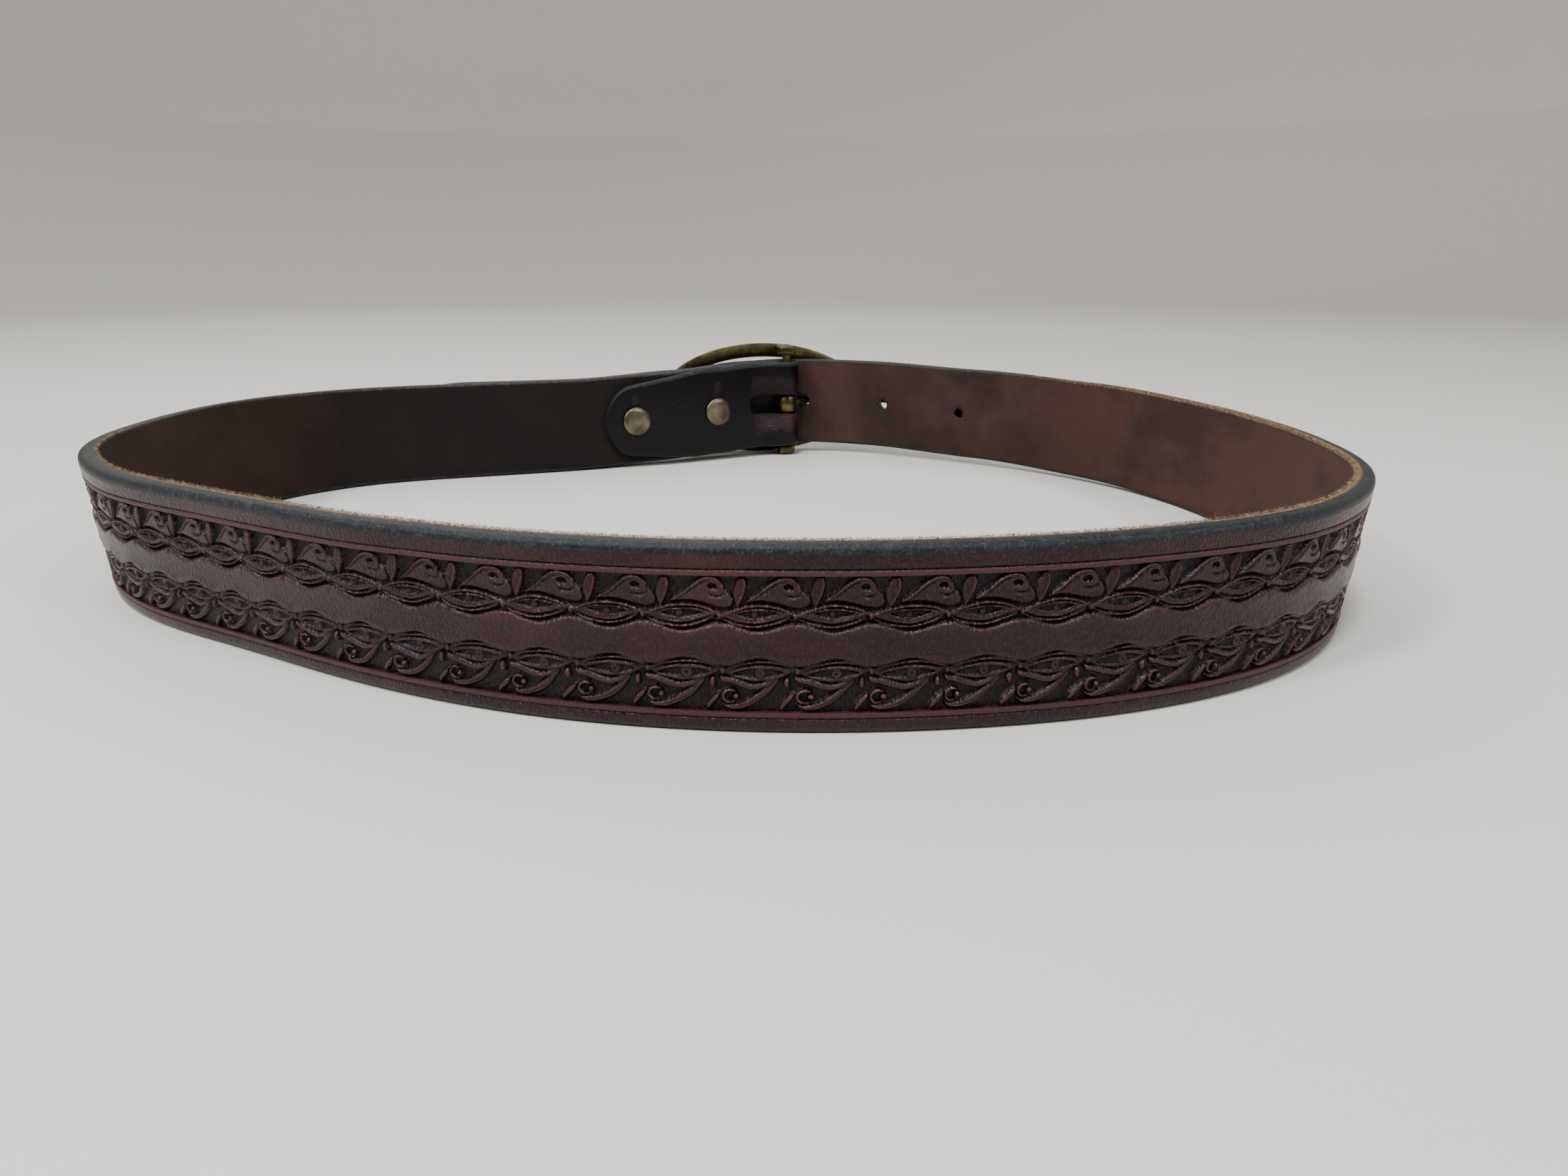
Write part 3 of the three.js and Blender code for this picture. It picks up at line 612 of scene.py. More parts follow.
LOWER_STRIKES = [
    ("raise", -.3, .35, [(-3.0, 24.9), (1.0, 23.9), (4.6, 23.4), (8.0, 23.8), (11.0, 24.7), (9.5, 25.8),
        (7.0, 26.8), (3.6, 27.3), (.5, 26.9), (-1.6, 26.2)]),
    ("sink", -.95, .4, [(-1.5, 25.8), (.9, 24.9), (3.9, 24.5), (6.8, 24.7), (9.1, 25.3), (6.9, 26.2),
        (4.2, 26.7), (1.0, 26.4)]),
    ("dome", -.12, 1.1, [(4.4, 25.5)]),
    ("sink", -.6, .4, [(3.85, 25.5), (4.4, 24.95), (4.95, 25.5), (4.4, 26.05)]),
    ("ridge", .02, .30, [(-2.8, 24.7), (1.0, 23.6), (4.6, 23.05), (8.0, 23.45), (11.4, 24.5)]),
    ("groove", .5, .2, [(-1.6, 24.95), (1.3, 24.05), (4.6, 23.55), (7.7, 23.9), (10.0, 24.6)]),
    ("ridge", -.04, .24, [(-1.9, 25.45), (.9, 24.5), (4.4, 24.1), (7.6, 24.4), (9.9, 25.2)]),
    ("raise", -.05, .5, [(-3.4, 26.0), (-.9, 26.45), (1.2, 27.1), (3.3, 27.6), (5.4, 27.1), (7.4, 26.4),
        (6.4, 27.7), (4.9, 28.6), (3.2, 29.05), (.9, 28.6), (-1.2, 27.8), (-3.2, 27.2)]),
    ("raise", .04, .45, [(-5.35, 26.6), (-4.7, 26.2), (-4.35, 27.2), (-4.5, 28.2), (-5.2, 28.4),
        (-5.6, 27.4)]),
    ("ridge", -.02, .36, [(-.9, 31.5), (-2.2, 31.5), (-3.0, 30.5), (-2.6, 29.4), (-1.6, 29.0), (-.6, 29.3)]),
    ("dome", .02, .6, [(-.6, 30.3)]),
    ("raise", -.02, .55, [(7.9, 26.4), (6.7, 28.7), (4.9, 30.7), (2.4, 32.3), (-.1, 33.1), (-2.2, 32.9),
        (-3.5, 31.5), (-2.2, 31.9), (-.2, 31.7), (1.6, 31.0), (3.5, 29.6), (5.4, 28.2)]),
    ("groove", .3, .2, [(6.9, 28.0), (5.2, 29.7), (3.1, 31.1), (.6, 32.1), (-1.4, 32.4)]),
    ("raise", .02, .4, [(-3.5, 29.4), (-3.7, 30.6), (-4.9, 32.0), (-6.3, 33.2), (-6.1, 31.7), (-4.9, 30.2)]),
    ("ridge", .06, .5, [(-2.9, 24.4), (-3.0, 25.6)]),
]


def curved(points, count, closed=False):
    """A smooth line through given points."""
    p = np.array(points, float)
    if closed:
        q, spans = np.vstack([p[-1], p, p[:2]]), len(p)
    else:
        q, spans = np.vstack([2 * p[0] - p[1], p, 2 * p[-1] - p[-2]]), len(p) - 1
    at = np.linspace(0, spans, count)
    i = np.minimum(at.astype(int), spans - 1)
    f = (at - i)[:, None]
    a, b, c, d = q[i], q[i + 1], q[i + 2], q[i + 3]
    return (2 * b + (c - a) * f + (2 * a - 5 * b + 4 * c - d) * f ** 2
            + (3 * b - a - 3 * c + d) * f ** 3) / 2


def from_line(path, u, v):
    """Distance from a line, and how far along it the nearest point is, from 0 to 1."""
    start, span = path[:-1], np.diff(path, axis=0)
    du, dv = u[:, None] - start[:, 0], v[:, None] - start[:, 1]
    share = np.clip((du * span[:, 0] + dv * span[:, 1]) / (span ** 2).sum(1), 0, 1)
    far = np.hypot(du - share * span[:, 0], dv - share * span[:, 1])
    nearest = far.argmin(1)
    pick = np.arange(len(u))
    return far[pick, nearest], (nearest + share[pick, nearest]) / len(span)


def from_outline(points, u, v):
    """Distance in from a closed outline, 0 outside it."""
    path = curved(points, 5 * len(points) + 1, closed=True)
    a, b = path[:-1], path[1:]
    crosses = (a[:, 1] > v[:, None]) != (b[:, 1] > v[:, None])
    rise = np.where(b[:, 1] == a[:, 1], 1e-9, b[:, 1] - a[:, 1])
    at = a[:, 0] + (v[:, None] - a[:, 1]) / rise * (b[:, 0] - a[:, 0])
    inside = (crosses & (u[:, None] < at)).sum(1) % 2 == 1
    return from_line(path, u, v)[0] * inside


DOME_RISE = 0.5
LINE_END, LINE_END_FALL, LINE_SIDE_FALL = 0.45, 0.5, 0.45  # a line thins and sinks at its ends


def struck(height, stroke, level, size, points, u, v):
    """Heights after one more strike, at places near it."""
    if stroke in ("raise", "sink"):
        inner = from_outline(points, u, v)
        if stroke == "sink":
            return height + np.minimum(level - height, 0) * smooth(inner / size)
        rounding = np.sqrt(1 - (1 - np.clip(inner / size, 0, 1)) ** 2)
        return np.where(inner > 0, np.maximum(height, GROUND + (level - GROUND) * rounding), height)
    if stroke == "dome":
        far = np.hypot(u - points[0][0], v - points[0][1]) / size
        top = level - DOME_RISE + DOME_RISE * np.sqrt(1 - np.clip(far, 0, 1) ** 2)
        return np.where(far < 1, np.maximum(height, top), height)
    far, place = from_line(curved(points, 6 * len(points)), u, v)
    thin = LINE_END + (1 - LINE_END) * np.sin(np.pi * np.clip(place, 0, 1)) ** .5
    profile = np.clip(1 - (far / (size * thin)) ** 2, 0, 1)
    if stroke == "groove":
        return height - level * thin * profile
    crest = level - LINE_END_FALL * (1 - thin) - LINE_SIDE_FALL * (1 - np.sqrt(profile))
    return np.where(profile > 0, np.maximum(height, crest), height)


TEMPLATE_STEP, TEMPLATE_MARGIN, STROKE_REACH = 0.07, 0.5, 1.6
CREASE_DEPTH, CREASE_WIDTH, CREASE_REACH = 0.35, 0.22, 1.3
RIM_FALL, RIM_WIDTH = 0.85, 0.28
SOFT_PASSES, WIDE_PASSES = 4, 40
# how dark the recesses are painted: partly dark dye held in them, partly painted shade
HOLLOW_GAIN, DEEP_TONE, DEEP = 1.3, 0.4, 0.9


def softened(values, passes):
    for _ in range(passes):
        values = (np.roll(values, 1, 0) + 2 * values + np.roll(values, -1, 0)) / 4
        padded = np.pad(values, ((0, 0), (1, 1)), mode="edge")
        values = (padded[:, :-2] + 2 * values + padded[:, 2:]) / 4
    return values


def stamp_template(strikes, top, foot):
    """One repeat of a row: its height over the grain side, and how dark each place is painted,
    more in recesses and deep places, partly for dye held there and partly as painted shade.
    """
    down = np.arange(top - TEMPLATE_MARGIN, foot + TEMPLATE_MARGIN, TEMPLATE_STEP)
    u, v = np.meshgrid(np.arange(0, PITCH, TEMPLATE_STEP), down, indexing="ij")
    height = np.full(u.shape, GROUND)
    for stroke, level, size, points in strikes:
        line = np.array(points)
        if stroke == "tilt":
            fall = level * smooth((v - np.interp(u, line[:, 0], line[:, 1])) / size)
            height = np.where(height > GROUND, height - fall, height)
            continue
        low, high = line.min(0) - STROKE_REACH, line.max(0) + STROKE_REACH
        for copy in (-1, 0, 1):
            s = u - copy * PITCH
            near = (s > low[0]) & (s < high[0]) & (v > low[1]) & (v < high[1])
            height[near] = struck(height[near], stroke, level, size, points, s[near], v[near])
    edges = field_edges(u, v)
    inside = edges[0] if top == UPPER_TOP else edges[1]
    field = field_height(u, v)
    to_knot = (u + UPPER_KNOT + PITCH / 2) % PITCH - PITCH / 2
    crease = CREASE_DEPTH * np.exp(-(to_knot / CREASE_WIDTH) ** 2 - np.maximum(inside, 0) / CREASE_REACH)
    rim = field - (field + RIM_FALL) * np.exp(-np.maximum(inside, 0) / RIM_WIDTH) - crease
    height = softened(np.where(inside > 0, np.maximum(rim, height), height), SOFT_PASSES)
    hollow = HOLLOW_GAIN * (softened(height, WIDE_PASSES) - height) + DEEP_TONE * smooth(-height / DEEP)
    return height, hollow


def read_template(values, top, u, v):
    fu = (u % PITCH) / PITCH * len(values)
    fv = np.clip((v - top + TEMPLATE_MARGIN) / TEMPLATE_STEP, 0, values.shape[1] - 1.001)
    i, j = fu.astype(int) % len(values), fv.astype(int)
    a, b, k = fu - np.floor(fu), fv - j, (i + 1) % len(values)
    return ((values[i, j] * (1 - a) + values[k, j] * a) * (1 - b)
            + (values[i, j + 1] * (1 - a) + values[k, j + 1] * a) * b)


# the two stretches in front are modelled finer than those round the waist's sides and back
FRONT_START, FRONT_MIDDLE, FRONT_END = 330.0, 575.0, 820.0
FINE, COARSE = (.19, .215), (.46, .5)  # steps along the strap and down it
STRETCHES = {
    "left": (STAMP_START + SPLIT, FRONT_START, *COARSE), "front_left": (FRONT_START, FRONT_MIDDLE, *FINE),
    "front_right": (FRONT_MIDDLE, FRONT_END, *FINE), "right": (FRONT_END, STAMP_END - SPLIT, *COARSE)}
ROWS_DOWN = {"upper": (UPPER_TOP, UPPER_FOOT, UPPER_STRIKES),
             "lower": (LOWER_TOP, LOWER_FOOT, LOWER_STRIKES)}
# the slabs' sides are painted half dark where they meet the recess floor, partly dye and partly painted
# shade
FLOOR_CLEARANCE, FLOOR_TONE = 0.02, 0.5
SLIPS, DROPS, FORCE_SPREAD = (0.16, 0.10), (0.08, 0.05), 0.08  # of strikes by hand
STEADY_ABOVE_FIELD = 3  # mm that don't drop, so that the border meets the field
borders = []
for row_name, (top, foot, strikes) in ROWS_DOWN.items():
    template, hollow_dye_and_shade_maps = stamp_template(strikes, top, foot)
    for stretch, (start, end, along_step, down_step) in STRETCHES.items():
        spots = np.linspace(start, end, int((end - start) / along_step))
        downs = np.linspace(top, foot, int((foot - top) / down_step))
        lines = np.concatenate([[top], downs, [foot, top]])
        bm, column, row = mapped_grid(len(spots), len(lines))
        x, down_mm = spots[column], lines[row]
        on_floor = (row == 0) | (row >= len(lines) - 2)
        u = x - STAMP_PHASE + SLIPS[0] * np.sin(x * 0.31) + SLIPS[1] * np.sin(x * 0.83 + 1.0)
        drop = DROPS[0] * np.sin(x * 0.23 + 2.0) + DROPS[1] * np.sin(x * 0.57)
        v = down_mm + drop * (down_mm < UPPER_FOOT - STEADY_ABOVE_FIELD)
        force = 1 + FORCE_SPREAD * np.sin(x * 0.44 + top)
        height, hollow = read_template(template, top, u, v), read_template(hollow_dye_and_shade_maps, top, u, v)
        height = np.where(height < 0, height * force, height) * stamped_share(x)
        depth = np.where(on_floor, RECESS - FLOOR_CLEARANCE, -height)
        share = down_to_share(down_mm)
        closed_leather(bm, laid(x, share, below_grain=depth), {
            "along": x * MM, "up": share * WIDTH * MM,
            "hollow": np.where(on_floor, FLOOR_TONE, hollow * stamped_share(x))})
        borders.append(make_piece(f"{row_name}_border_{stretch}", bm, (grain,)))

# Holes and slot: punched through the strap where the prong and the buckle's eye go, and
# the seats of the two snaps.
RIGHT = -bar_way
BAR_MIDDLE = bar_foot + bar_up * HALF + SHIFT
PRONG_RADIUS, PRONG_CLEARANCE = 1.5, 0.75
FIRST_HOLE, HOLE_SPACING, HOLE_RADIUS, HOLE_SIDES = 11.0, 36.5, 2.1, 32
SLOT_LENGTH, SLOT_HEIGHT, SLOT_CORNER, SLOT_CORNER_STEPS = 18.0, 9.0, 4.2, 8
FREE_INNER = THICK / 2 + GAP
FREE_OUTER = FREE_INNER + THICK
FRAME_INNER = FREE_OUTER + GAP
SHANK_LEAD, SHANK_CROSS = 5.0, 2.0
SHANK_OUT_LEAD = SHANK_LEAD * .9
SNAP_SPOTS = (35.5, 73.0)
CAP_RADIUS, CAP_HEIGHT, POST_RADIUS, FLANGE_RADIUS, FLANGE_THICK = 6.0, 1.7, 2.0, 4.4, 0.8
FLANGE_TOP = -THICK / 2 + FLANGE_THICK


def at_buckle(right, across, rise):
    return (BAR_MIDDLE + RIGHT * right + bar_out * across + np.array((0, 0, rise))) * MM


def axes_matrix(first, second, third, origin):
    matrix = Matrix.Identity(4)
    for k, axis in enumerate((first, second, third, origin)):
        matrix.col[k][:3] = axis
    return matrix


buckle_matrix = axes_matrix(RIGHT, bar_out, (0, 0, 1), BAR_MIDDLE * MM)


def snap_matrix(spot):
    """Z runs out of the tab's grain side, into the loop."""
    foot, out, up = (a[0] for a in stations(np.array([spot])))
    return axes_matrix(np.cross(up, -out), up, -out, (foot + up * HALF + SHIFT) * MM)


def cap_foot(spot):
    return FOLD_THICK - tab_flesh(spot) + GAP


def rod(bm, matrix, radius, low, high, sides):
    bmesh.ops.create_cone(bm, cap_ends=True, segments=sides, radius1=radius * MM, radius2=radius * MM,
                          depth=(high - low) * MM,
                          matrix=matrix @ Matrix.Translation((0, 0, (low + high) / 2 * MM)))


def block(bm, middle, size):
    """A block square to the buckle, from its middle and size in mm. Gives its edges."""
    made = bmesh.ops.create_cube(bm, size=1, matrix=buckle_matrix @ Matrix.Translation(Vector(middle) * MM)
                                 @ Matrix.Diagonal((*(s * MM for s in size), 1)))
    verts = set(made["verts"])
    return [e for e in bm.edges if set(e.verts) <= verts]


def round_edges(bm, edges, radius, steps):
    bmesh.ops.bevel(bm, geom=edges, offset=radius * MM, segments=steps, profile=.5, affect="EDGES",
                    material=-1)


cutter = bmesh.new()


def punch(matrix, radius, low, high):
    rod(cutter, matrix, radius, low, high, HOLE_SIDES)


def punch_square(station_of, distance):
    """A round hole through the strap, square to it, halfway up."""
    foot, out, up = (a[0] for a in station_of(np.array([distance])))
    reach = (THICK + GAP) / 2
    matrix = axes_matrix(np.cross(up, out), up, out, (foot + up * HALF + SHIFT) * MM)
    punch(matrix, HOLE_RADIUS, -reach, reach)


for i in (1, 2):
    punch_square(stations, LOOP_LENGTH - FIRST_HOLE - i * HOLE_SPACING)
    punch_square(free_stations, i * HOLE_SPACING - FIRST_HOLE)
shank_in = at_buckle(FIRST_HOLE - SHANK_LEAD, BAR_ACROSS + SHANK_CROSS, 0)
shank_out = at_buckle(FIRST_HOLE + SHANK_OUT_LEAD, FRAME_INNER + SHANK_CROSS / 2, 0)
shank_way = Vector(shank_out - shank_in)
shank_turn = Vector((0, 0, 1)).rotation_difference(shank_way).to_matrix().to_4x4()
punch(Matrix.Translation(shank_in) @ shank_turn, PRONG_RADIUS + PRONG_CLEARANCE, 0, shank_way.length / MM)
slot_right = FOLD_RADIUS + 2 * FOLD_THICK
slot_outer, slot_inner = THICK / 2 + GAP / 2, TAB_FLESH_AT_BAR - FOLD_THICK - GAP
slot_size = (slot_right + SLOT_LENGTH, slot_outer - slot_inner, SLOT_HEIGHT)
slot_middle = ((slot_right - SLOT_LENGTH) / 2, (slot_outer + slot_inner) / 2, 0)
corners = [e for e in block(cutter, slot_middle, slot_size)
           if abs((e.verts[0].co - e.verts[1].co).normalized().dot(Vector(bar_out))) > .99]
round_edges(cutter, corners, SLOT_CORNER, SLOT_CORNER_STEPS)
for spot in SNAP_SPOTS:
    punch(snap_matrix(spot), FLANGE_RADIUS + GAP, -THICK / 2 - GAP / 2, FLANGE_TOP + GAP)
    punch(snap_matrix(spot), POST_RADIUS + GAP, FLANGE_TOP, cap_foot(spot) + GAP)

cutter_piece = make_piece("punches", cutter, (edge,))
cut = strap.modifiers.new("punched", "BOOLEAN")
cut.operation = "DIFFERENCE"
cut.solver = "EXACT"
cut.object = cutter_piece
cut.use_self = True
punched = bpy.data.meshes.new_from_object(strap.evaluated_get(bpy.context.evaluated_depsgraph_get()))
strap.modifiers.clear()
strap.data = punched
bpy.data.objects.remove(cutter_piece)
for piece in [strap] + borders:
    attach(piece, "root")
    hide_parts("strap")

# Loose fibres: the flesh side's fuzz, standing up along the strap's inner top edge where
# the cut was never burnished.
FIBRES, FIBRE_SEED = 14000, 7
FIBRE_THICK = 0.05
FUZZ_START, FUZZ_END, FUZZ_SHARE = 290.0, 905.0, 0.93
ROOT_SHARE, ROOT_DEPTH, ROOT_SPREAD, ROOT_LEAST, ROOT_MOST = 0.998, 0.15, 0.35, 0.05, 1.3
UPRIGHT_LEAST, TANGLE, INWARD_MOST = 0.2, 0.5, 0.9
LENGTH_SHAPE, LENGTH_SCALE, LENGTH_LEAST = 3, 0.12, 0.12
FIBRE_TONES = linear(74, 56, 42), linear(128, 102, 76), linear(170, 144, 110)
fibre_finish = Finish("loose_fibre", Roughness=0.9)
fibre_tone = fibre_finish.noise(fibre_finish.place(), 700, 2)
fibre_finish.out("Base Color", fibre_finish.ramp(fibre_tone, zip((.35, .5, .68), FIBRE_TONES)))
one_fibre = bmesh.new()
bmesh.ops.create_cone(one_fibre, cap_ends=True, segments=3, radius1=1, radius2=0, depth=1,
                      matrix=Matrix.Translation((0, 0, .5)))
bmesh.ops.remove_doubles(one_fibre, verts=one_fibre.verts, dist=1e-4)
tuft = make_piece("tuft", one_fibre, (fibre_finish,))
shape = np.array([v.co for v in tuft.data.vertices])
copies = tuft.modifiers.new("copies", "ARRAY")
copies.count = FIBRES
copies.use_relative_offset = False
fibre_bm = bmesh.new()
fibre_bm.from_mesh(tuft.evaluated_get(bpy.context.evaluated_depsgraph_get()).data)
bpy.data.objects.remove(tuft)
random = np.random.default_rng(FIBRE_SEED)
spots = np.where(random.uniform(0, 1, FIBRES) < FUZZ_SHARE, random.uniform(FUZZ_START, FUZZ_END, FIBRES),
                 random.uniform(0, LOOP_LENGTH, FIBRES))
depths = np.clip(np.abs(random.normal(ROOT_DEPTH, ROOT_SPREAD, FIBRES)), ROOT_LEAST, ROOT_MOST)
roots = laid(spots, np.full(FIBRES, ROOT_SHARE), above_flesh=depths)
_, fibre_out, fibre_up, *_ = places(spots)
ways = (fibre_up * random.uniform(UPRIGHT_LEAST, 1, (FIBRES, 1)) + random.normal(0, TANGLE, (FIBRES, 3))
        - fibre_out * random.uniform(0, INWARD_MOST, (FIBRES, 1)))
ways /= np.linalg.norm(ways, axis=1)[:, None]
lengths = random.gamma(LENGTH_SHAPE, LENGTH_SCALE, FIBRES) + LENGTH_LEAST
beside = np.cross(ways, fibre_out)
beside /= np.linalg.norm(beside, axis=1)[:, None]
other = np.cross(ways, beside)
thickness = FIBRE_THICK * MM
co = (roots[:, None] + beside[:, None] * shape[None, :, :1] * thickness
      + other[:, None] * shape[None, :, 1:2] * thickness
      + (ways * lengths[:, None] * MM)[:, None] * shape[None, :, 2:])
for v, place in zip(fibre_bm.verts, co.reshape(-1, 3)):
    v.co = place
fibres = make_piece("edge_fibres", fibre_bm, (fibre_finish,))
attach(fibres, "root")

# Snaps: pressed brass caps with a rolled rim on the tab's grain side, each set on a post
# through tab and strap whose flange is let into the strap. They hold the fold closed.
snap_brass = Finish("greyed_brass", Metallic=1.0)


def finish_brass(f, low, middle, high, roughness):
    place = f.place()
    cloud, fine = f.noise(place, 160, 4), f.noise(place, 1500, 3)
    f.out("Base Color", f.ramp(cloud, [(.3, low), (.5, middle), (.72, high)]))
    f.out("Roughness", (roughness + 0.25 * (fine - 0.4)).clamp())
    f.out("Normal", f.bump(fine, .12, .0003))


finish_brass(snap_brass, linear(74, 67, 55), linear(106, 97, 80), linear(134, 126, 108), .36)


METAL_MERGE = 1e-6


def spun(bm, profile, steps=48):
    """Spins a profile of radius and height pairs in mm round Z, and joins its seam."""
    verts = [bm.verts.new((r * MM, 0, z * MM)) for r, z in profile]
    edges = [bm.edges.new(pair) for pair in zip(verts, verts[1:])]
    bmesh.ops.spin(bm, geom=verts + edges, cent=(0, 0, 0), axis=(0, 0, 1), dvec=(0, 0, 0),
                   angle=2 * math.pi, steps=steps, use_merge=True, use_normal_flip=False,
                   use_duplicate=False)
    bmesh.ops.remove_doubles(bm, verts=bm.verts, dist=METAL_MERGE)
    bmesh.ops.recalc_face_normals(bm, faces=bm.faces)


CAP_SECTION = [(-.45, 0), (-.12, .12), (0, .45), (-.05, .75), (-.3, 1.02), (-.85, 1.28), (-1.2, 1.5),
               (-1.6, 1.64), (-2.4, CAP_HEIGHT)]  # from the cap's rim and its foot
FLANGE_ROUND = 0.15
for number, spot in enumerate(SNAP_SPOTS, 1):
    bm = bmesh.new()
    foot = cap_foot(spot)
    flange_foot = FLANGE_TOP - FLANGE_THICK
    spun(bm, [(0, flange_foot), (FLANGE_RADIUS - FLANGE_ROUND, flange_foot),
              (FLANGE_RADIUS, flange_foot + FLANGE_ROUND), (FLANGE_RADIUS, FLANGE_TOP),
              (POST_RADIUS, FLANGE_TOP), (POST_RADIUS, foot)]
         + [(CAP_RADIUS + r, foot + z) for r, z in CAP_SECTION] + [(0, foot + CAP_HEIGHT)])
    bmesh.ops.transform(bm, matrix=snap_matrix(spot), verts=bm.verts)
    cap = make_piece(f"snap_cap_{number}", bm, (snap_brass,))
    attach(cap, "root")
    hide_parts(f"snap_{number}")

# Buckle: a cast brass oval, domed outside and flat inside, curved round the waist, with
# a round bar set into two lugs off its middle so that the strap passes between them.
FRAME_LONG, FRAME_BAND, FRAME_THICK, FRAME_OFFSET, FRAME_BEND = 47.8, 6.0, 3.0, 10.3, 230.0
LUG_PLAY = 1.5  # between the strap's edge and a lug
LUG_CLEAR = HALF + LUG_PLAY
LUG_WIDTH, LUG_SET_BACK, LUG_INSET, BAR_SET_IN = 7.0, 0.6, 0.5, 1.0
LUG_ROUND, LUG_ROUND_STEPS, BAR_SIDES = 1.0, 4, 40
FRAME_TALL = LUG_CLEAR + LUG_HEIGHT
FRAME_RISE = FRAME_TALL - BAR_LIFT - HALF
buckle_brass = Finish("aged_brass", Metallic=1.0)
finish_brass(buckle_brass, linear(56, 50, 33), linear(84, 75, 49), linear(122, 108, 70), .34)
# shares of the band's width, from its inner side, and of its thickness
BAND_SECTION = np.array([(0, .06), (.03, 0), (.97, 0), (1, .06), (1, .45), (.96, .62), (.86, .8), (.7, .94),
                         (.5, 1), (.3, .94), (.14, .8), (.04, .62), (0, .45), (0, .06)])
OVAL_STEPS = 160


def frame_drop(right):
    return FRAME_BEND - np.sqrt(FRAME_BEND ** 2 - right ** 2)


bm, column, row = mapped_grid(OVAL_STEPS + 1, len(BAND_SECTION))
angle = column / OVAL_STEPS * 2 * math.pi
inset = FRAME_BAND * (1 - BAND_SECTION[row, 0])
for v, a, narrower, thick_share in zip(bm.verts, angle, inset, BAND_SECTION[row, 1]):
    right = (FRAME_LONG - narrower) * math.cos(a) - FRAME_OFFSET
    rise = (FRAME_TALL - narrower) * math.sin(a) + FRAME_RISE
    v.co = at_buckle(right, FRAME_INNER + FRAME_THICK * thick_share - frame_drop(right), rise)
bmesh.ops.remove_doubles(bm, verts=bm.verts, dist=METAL_MERGE)
bmesh.ops.recalc_face_normals(bm, faces=bm.faces)
lug_inner, lug_outer = BAR_ACROSS - BAR_RADIUS - LUG_SET_BACK, FRAME_INNER + FRAME_THICK / 2
for side in (1, -1):
    middle = (0, (lug_inner + lug_outer) / 2, FRAME_RISE + side * (LUG_CLEAR + (LUG_HEIGHT - LUG_INSET) / 2))
    size = (LUG_WIDTH, lug_outer - lug_inner, LUG_HEIGHT - LUG_INSET)
    round_edges(bm, block(bm, middle, size), LUG_ROUND, LUG_ROUND_STEPS)
bar_matrix = buckle_matrix @ Matrix.Translation((0, BAR_ACROSS * MM, FRAME_RISE * MM))
bar_half = LUG_CLEAR + BAR_SET_IN
rod(bm, bar_matrix, BAR_RADIUS, -bar_half, bar_half, BAR_SIDES)
buckle = make_piece("buckle_frame", bm, (buckle_brass,))
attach(buckle, "root")
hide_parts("buckle")

# Prong: brass wire with an eye round the bar. It goes out through the slot and the
# strap's hole, and its tip lies on the frame's right side.
EYE_THICK, EYE_HEIGHT, EYE_ROUND = 1.8, 7.0, 0.3
SHANK_LAG, SHANK_SETTLE, SHANK_PAST = 0.6, 14.0, 0.5
SHANK_STEPS, SHANK_SIDES = 90, 24
TIP_ROUNDS, TIP_CLOSES = 0.95, 1.01  # shares of the wire's length
frame_right = FRAME_LONG - FRAME_OFFSET
shank_rest = FRAME_INNER + FRAME_THICK + GAP + PRONG_RADIUS - frame_drop(frame_right - FRAME_BAND)
spine = curved([
    (FOLD_RADIUS + EYE_THICK / 2, BAR_ACROSS), (FIRST_HOLE - SHANK_LEAD, BAR_ACROSS + SHANK_CROSS),
    (FIRST_HOLE - SHANK_LEAD * .1, (FREE_INNER + FREE_OUTER) / 2 - SHANK_LAG),
    (FIRST_HOLE + SHANK_OUT_LEAD, FRAME_INNER + SHANK_CROSS / 2),
    (FIRST_HOLE + SHANK_SETTLE, shank_rest - SHANK_LAG), (frame_right - FRAME_BAND, shank_rest),
    (frame_right + SHANK_PAST, shank_rest - SHANK_PAST)], SHANK_STEPS + 1)
way = np.gradient(spine, axis=0)
way /= np.linalg.norm(way, axis=1)[:, None]
bm, column, row = mapped_grid(SHANK_STEPS + 1, SHANK_SIDES + 1)
past_tip = np.clip(column / SHANK_STEPS - TIP_ROUNDS, 0, 1) / (TIP_CLOSES - TIP_ROUNDS)
radius = PRONG_RADIUS * np.sqrt(1 - past_tip ** 2)
turn = row / SHANK_SIDES * 2 * math.pi
for v, c, a, r in zip(bm.verts, column, turn, radius):
    right, across = spine[c] + np.array((-way[c, 1], way[c, 0])) * r * math.cos(a)
    v.co = at_buckle(right, across, r * math.sin(a))
sealed(bm, METAL_MERGE)
eye_inner, eye_outer, eye_half = FOLD_RADIUS, FOLD_RADIUS + EYE_THICK, EYE_HEIGHT / 2
below = [(eye_inner, EYE_ROUND - eye_half), (eye_inner + EYE_ROUND, -eye_half),
         (eye_outer - EYE_ROUND, -eye_half), (eye_outer, EYE_ROUND - eye_half)]
eye = bmesh.new()
spun(eye, below + [(r, -z) for r, z in reversed(below)] + below[:1])
bmesh.ops.transform(eye, matrix=buckle_matrix @ Matrix.Translation((0, BAR_ACROSS * MM, 0)), verts=eye.verts)
eye_mesh = bpy.data.meshes.new("eye")
eye.to_mesh(eye_mesh)
eye.free()
bm.from_mesh(eye_mesh)
bpy.data.meshes.remove(eye_mesh)
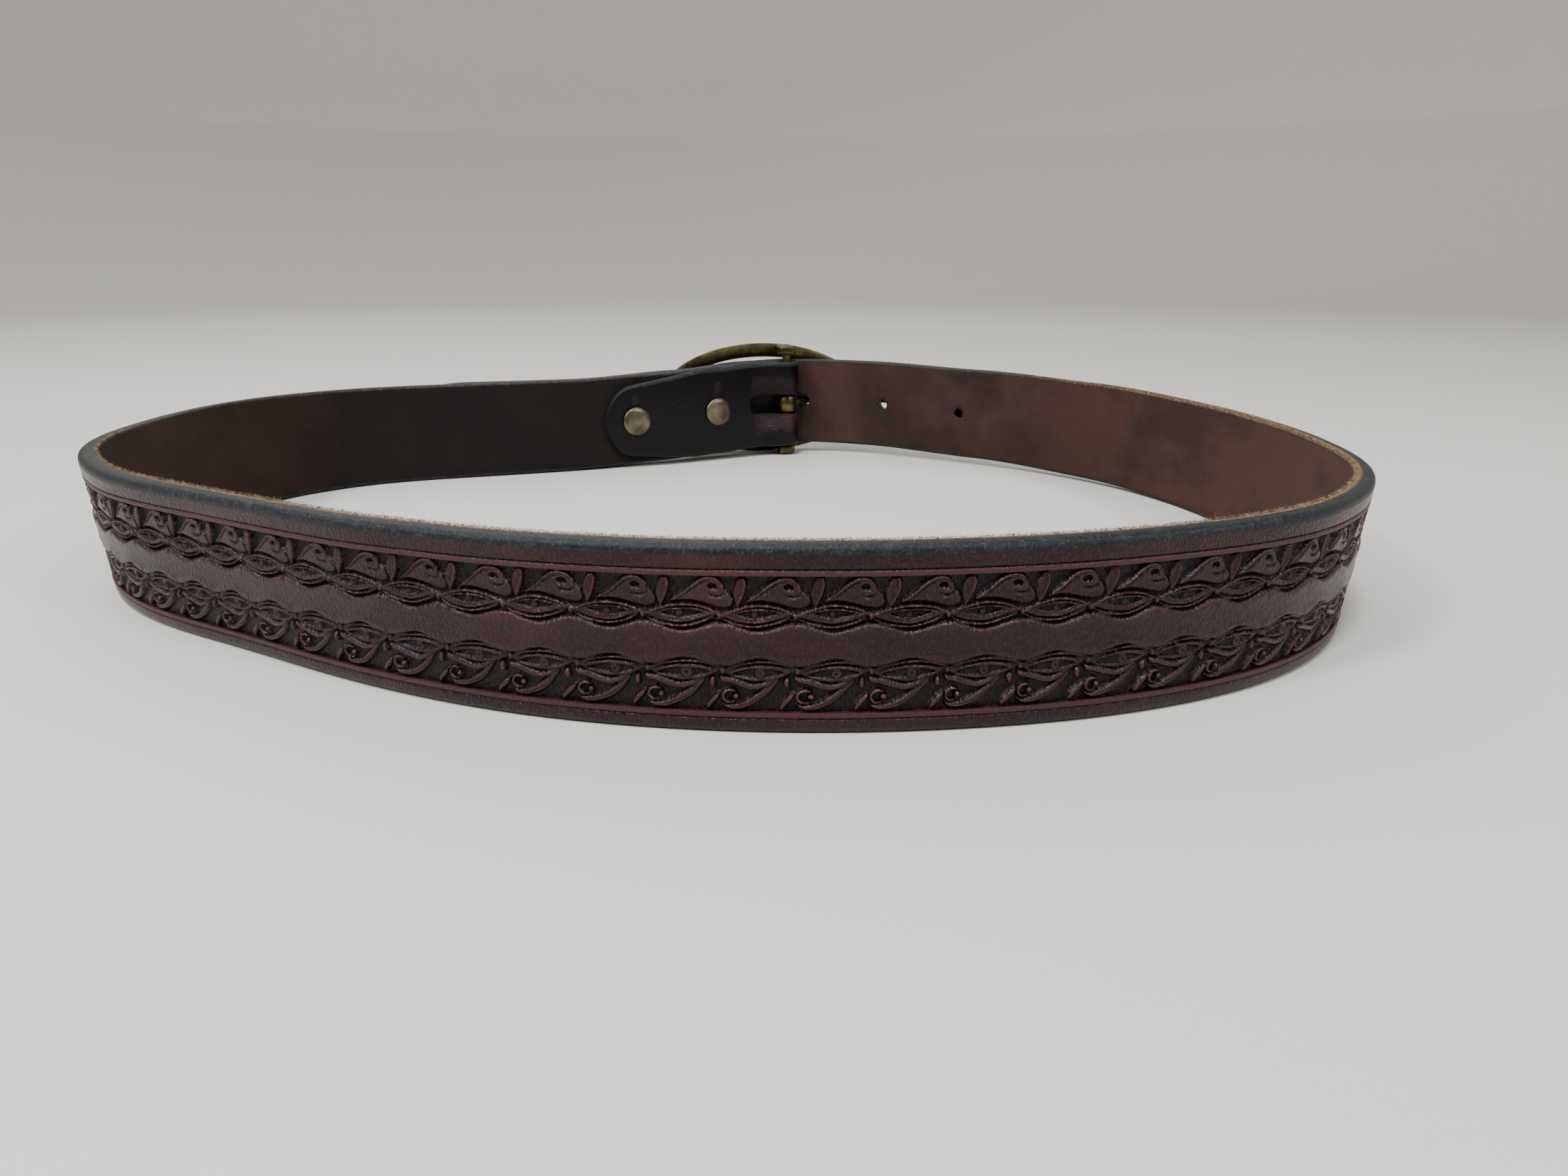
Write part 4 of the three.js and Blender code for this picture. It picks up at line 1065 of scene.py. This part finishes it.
prong = make_piece("prong_wire", bm, (buckle_brass,))
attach(prong, "root")
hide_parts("prong")

# Floor and light: a plain pale floor that curves up all round to a pale wall, under soft
# lights: a window behind, a ceiling light, and three panels in front for the grain's gloss.
FLOOR_RADIUS, WALL_RADIUS, WALL_HEIGHT, COVE_STEPS, FLOOR_SIDES = 1.7, 2.4, 2.6, 10, 96
COVE_RADIUS = WALL_RADIUS - FLOOR_RADIUS
floor_bm = bmesh.new()
cove = [(FLOOR_RADIUS + COVE_RADIUS * math.sin(a), COVE_RADIUS * (1 - math.cos(a)))
        for a in np.linspace(0, math.pi / 2, COVE_STEPS)]
spun(floor_bm, [(r / MM, z / MM) for r, z in [(0, 0), *cove, (WALL_RADIUS, WALL_HEIGHT)]], FLOOR_SIDES)
bmesh.ops.reverse_faces(floor_bm, faces=[f for f in floor_bm.faces if f.normal.z < -.5])
floor_finish = Finish("pale_floor", Base_Color=linear(206, 201, 193), Roughness=.6)
floor = make_piece("floor", floor_bm, (floor_finish,))


def add_light(name, place, size, power, colour):
    data = bpy.data.lights.new(name, "AREA")
    data.shape = "RECTANGLE"
    data.size, data.size_y = size
    data.energy = power
    data.color = colour
    light = bpy.data.objects.new(name, data)
    light.location = place
    light.rotation_euler = (-Vector(place)).to_track_quat("-Z", "Y").to_euler()
    bpy.context.scene.collection.objects.link(light)


# name, place and size in metres, watts and colour
add_light("window", (-.5, 1.2, 1.3), (1.5, .8), 12, (.92, .96, 1))
add_light("ceiling", (0, .1, 2.1), (2.0, 2.0), 18, (1, .98, .95))
add_light("panel_above", (-.15, -.55, 1.25), (.22, .22), 15, (.88, .94, 1))
add_light("panel_left", (-.75, -.6, .85), (.2, .2), 11, (.86, .93, 1))
add_light("panel_right", (.9, -.65, .8), (.2, .2), 7, (.9, .95, 1))
world = bpy.data.worlds.new("room")
world.use_nodes = True
world.node_tree.nodes["Background"].inputs["Color"].default_value = (.85, .87, .90, 1)
world.node_tree.nodes["Background"].inputs["Strength"].default_value = .3
bpy.context.scene.world = world
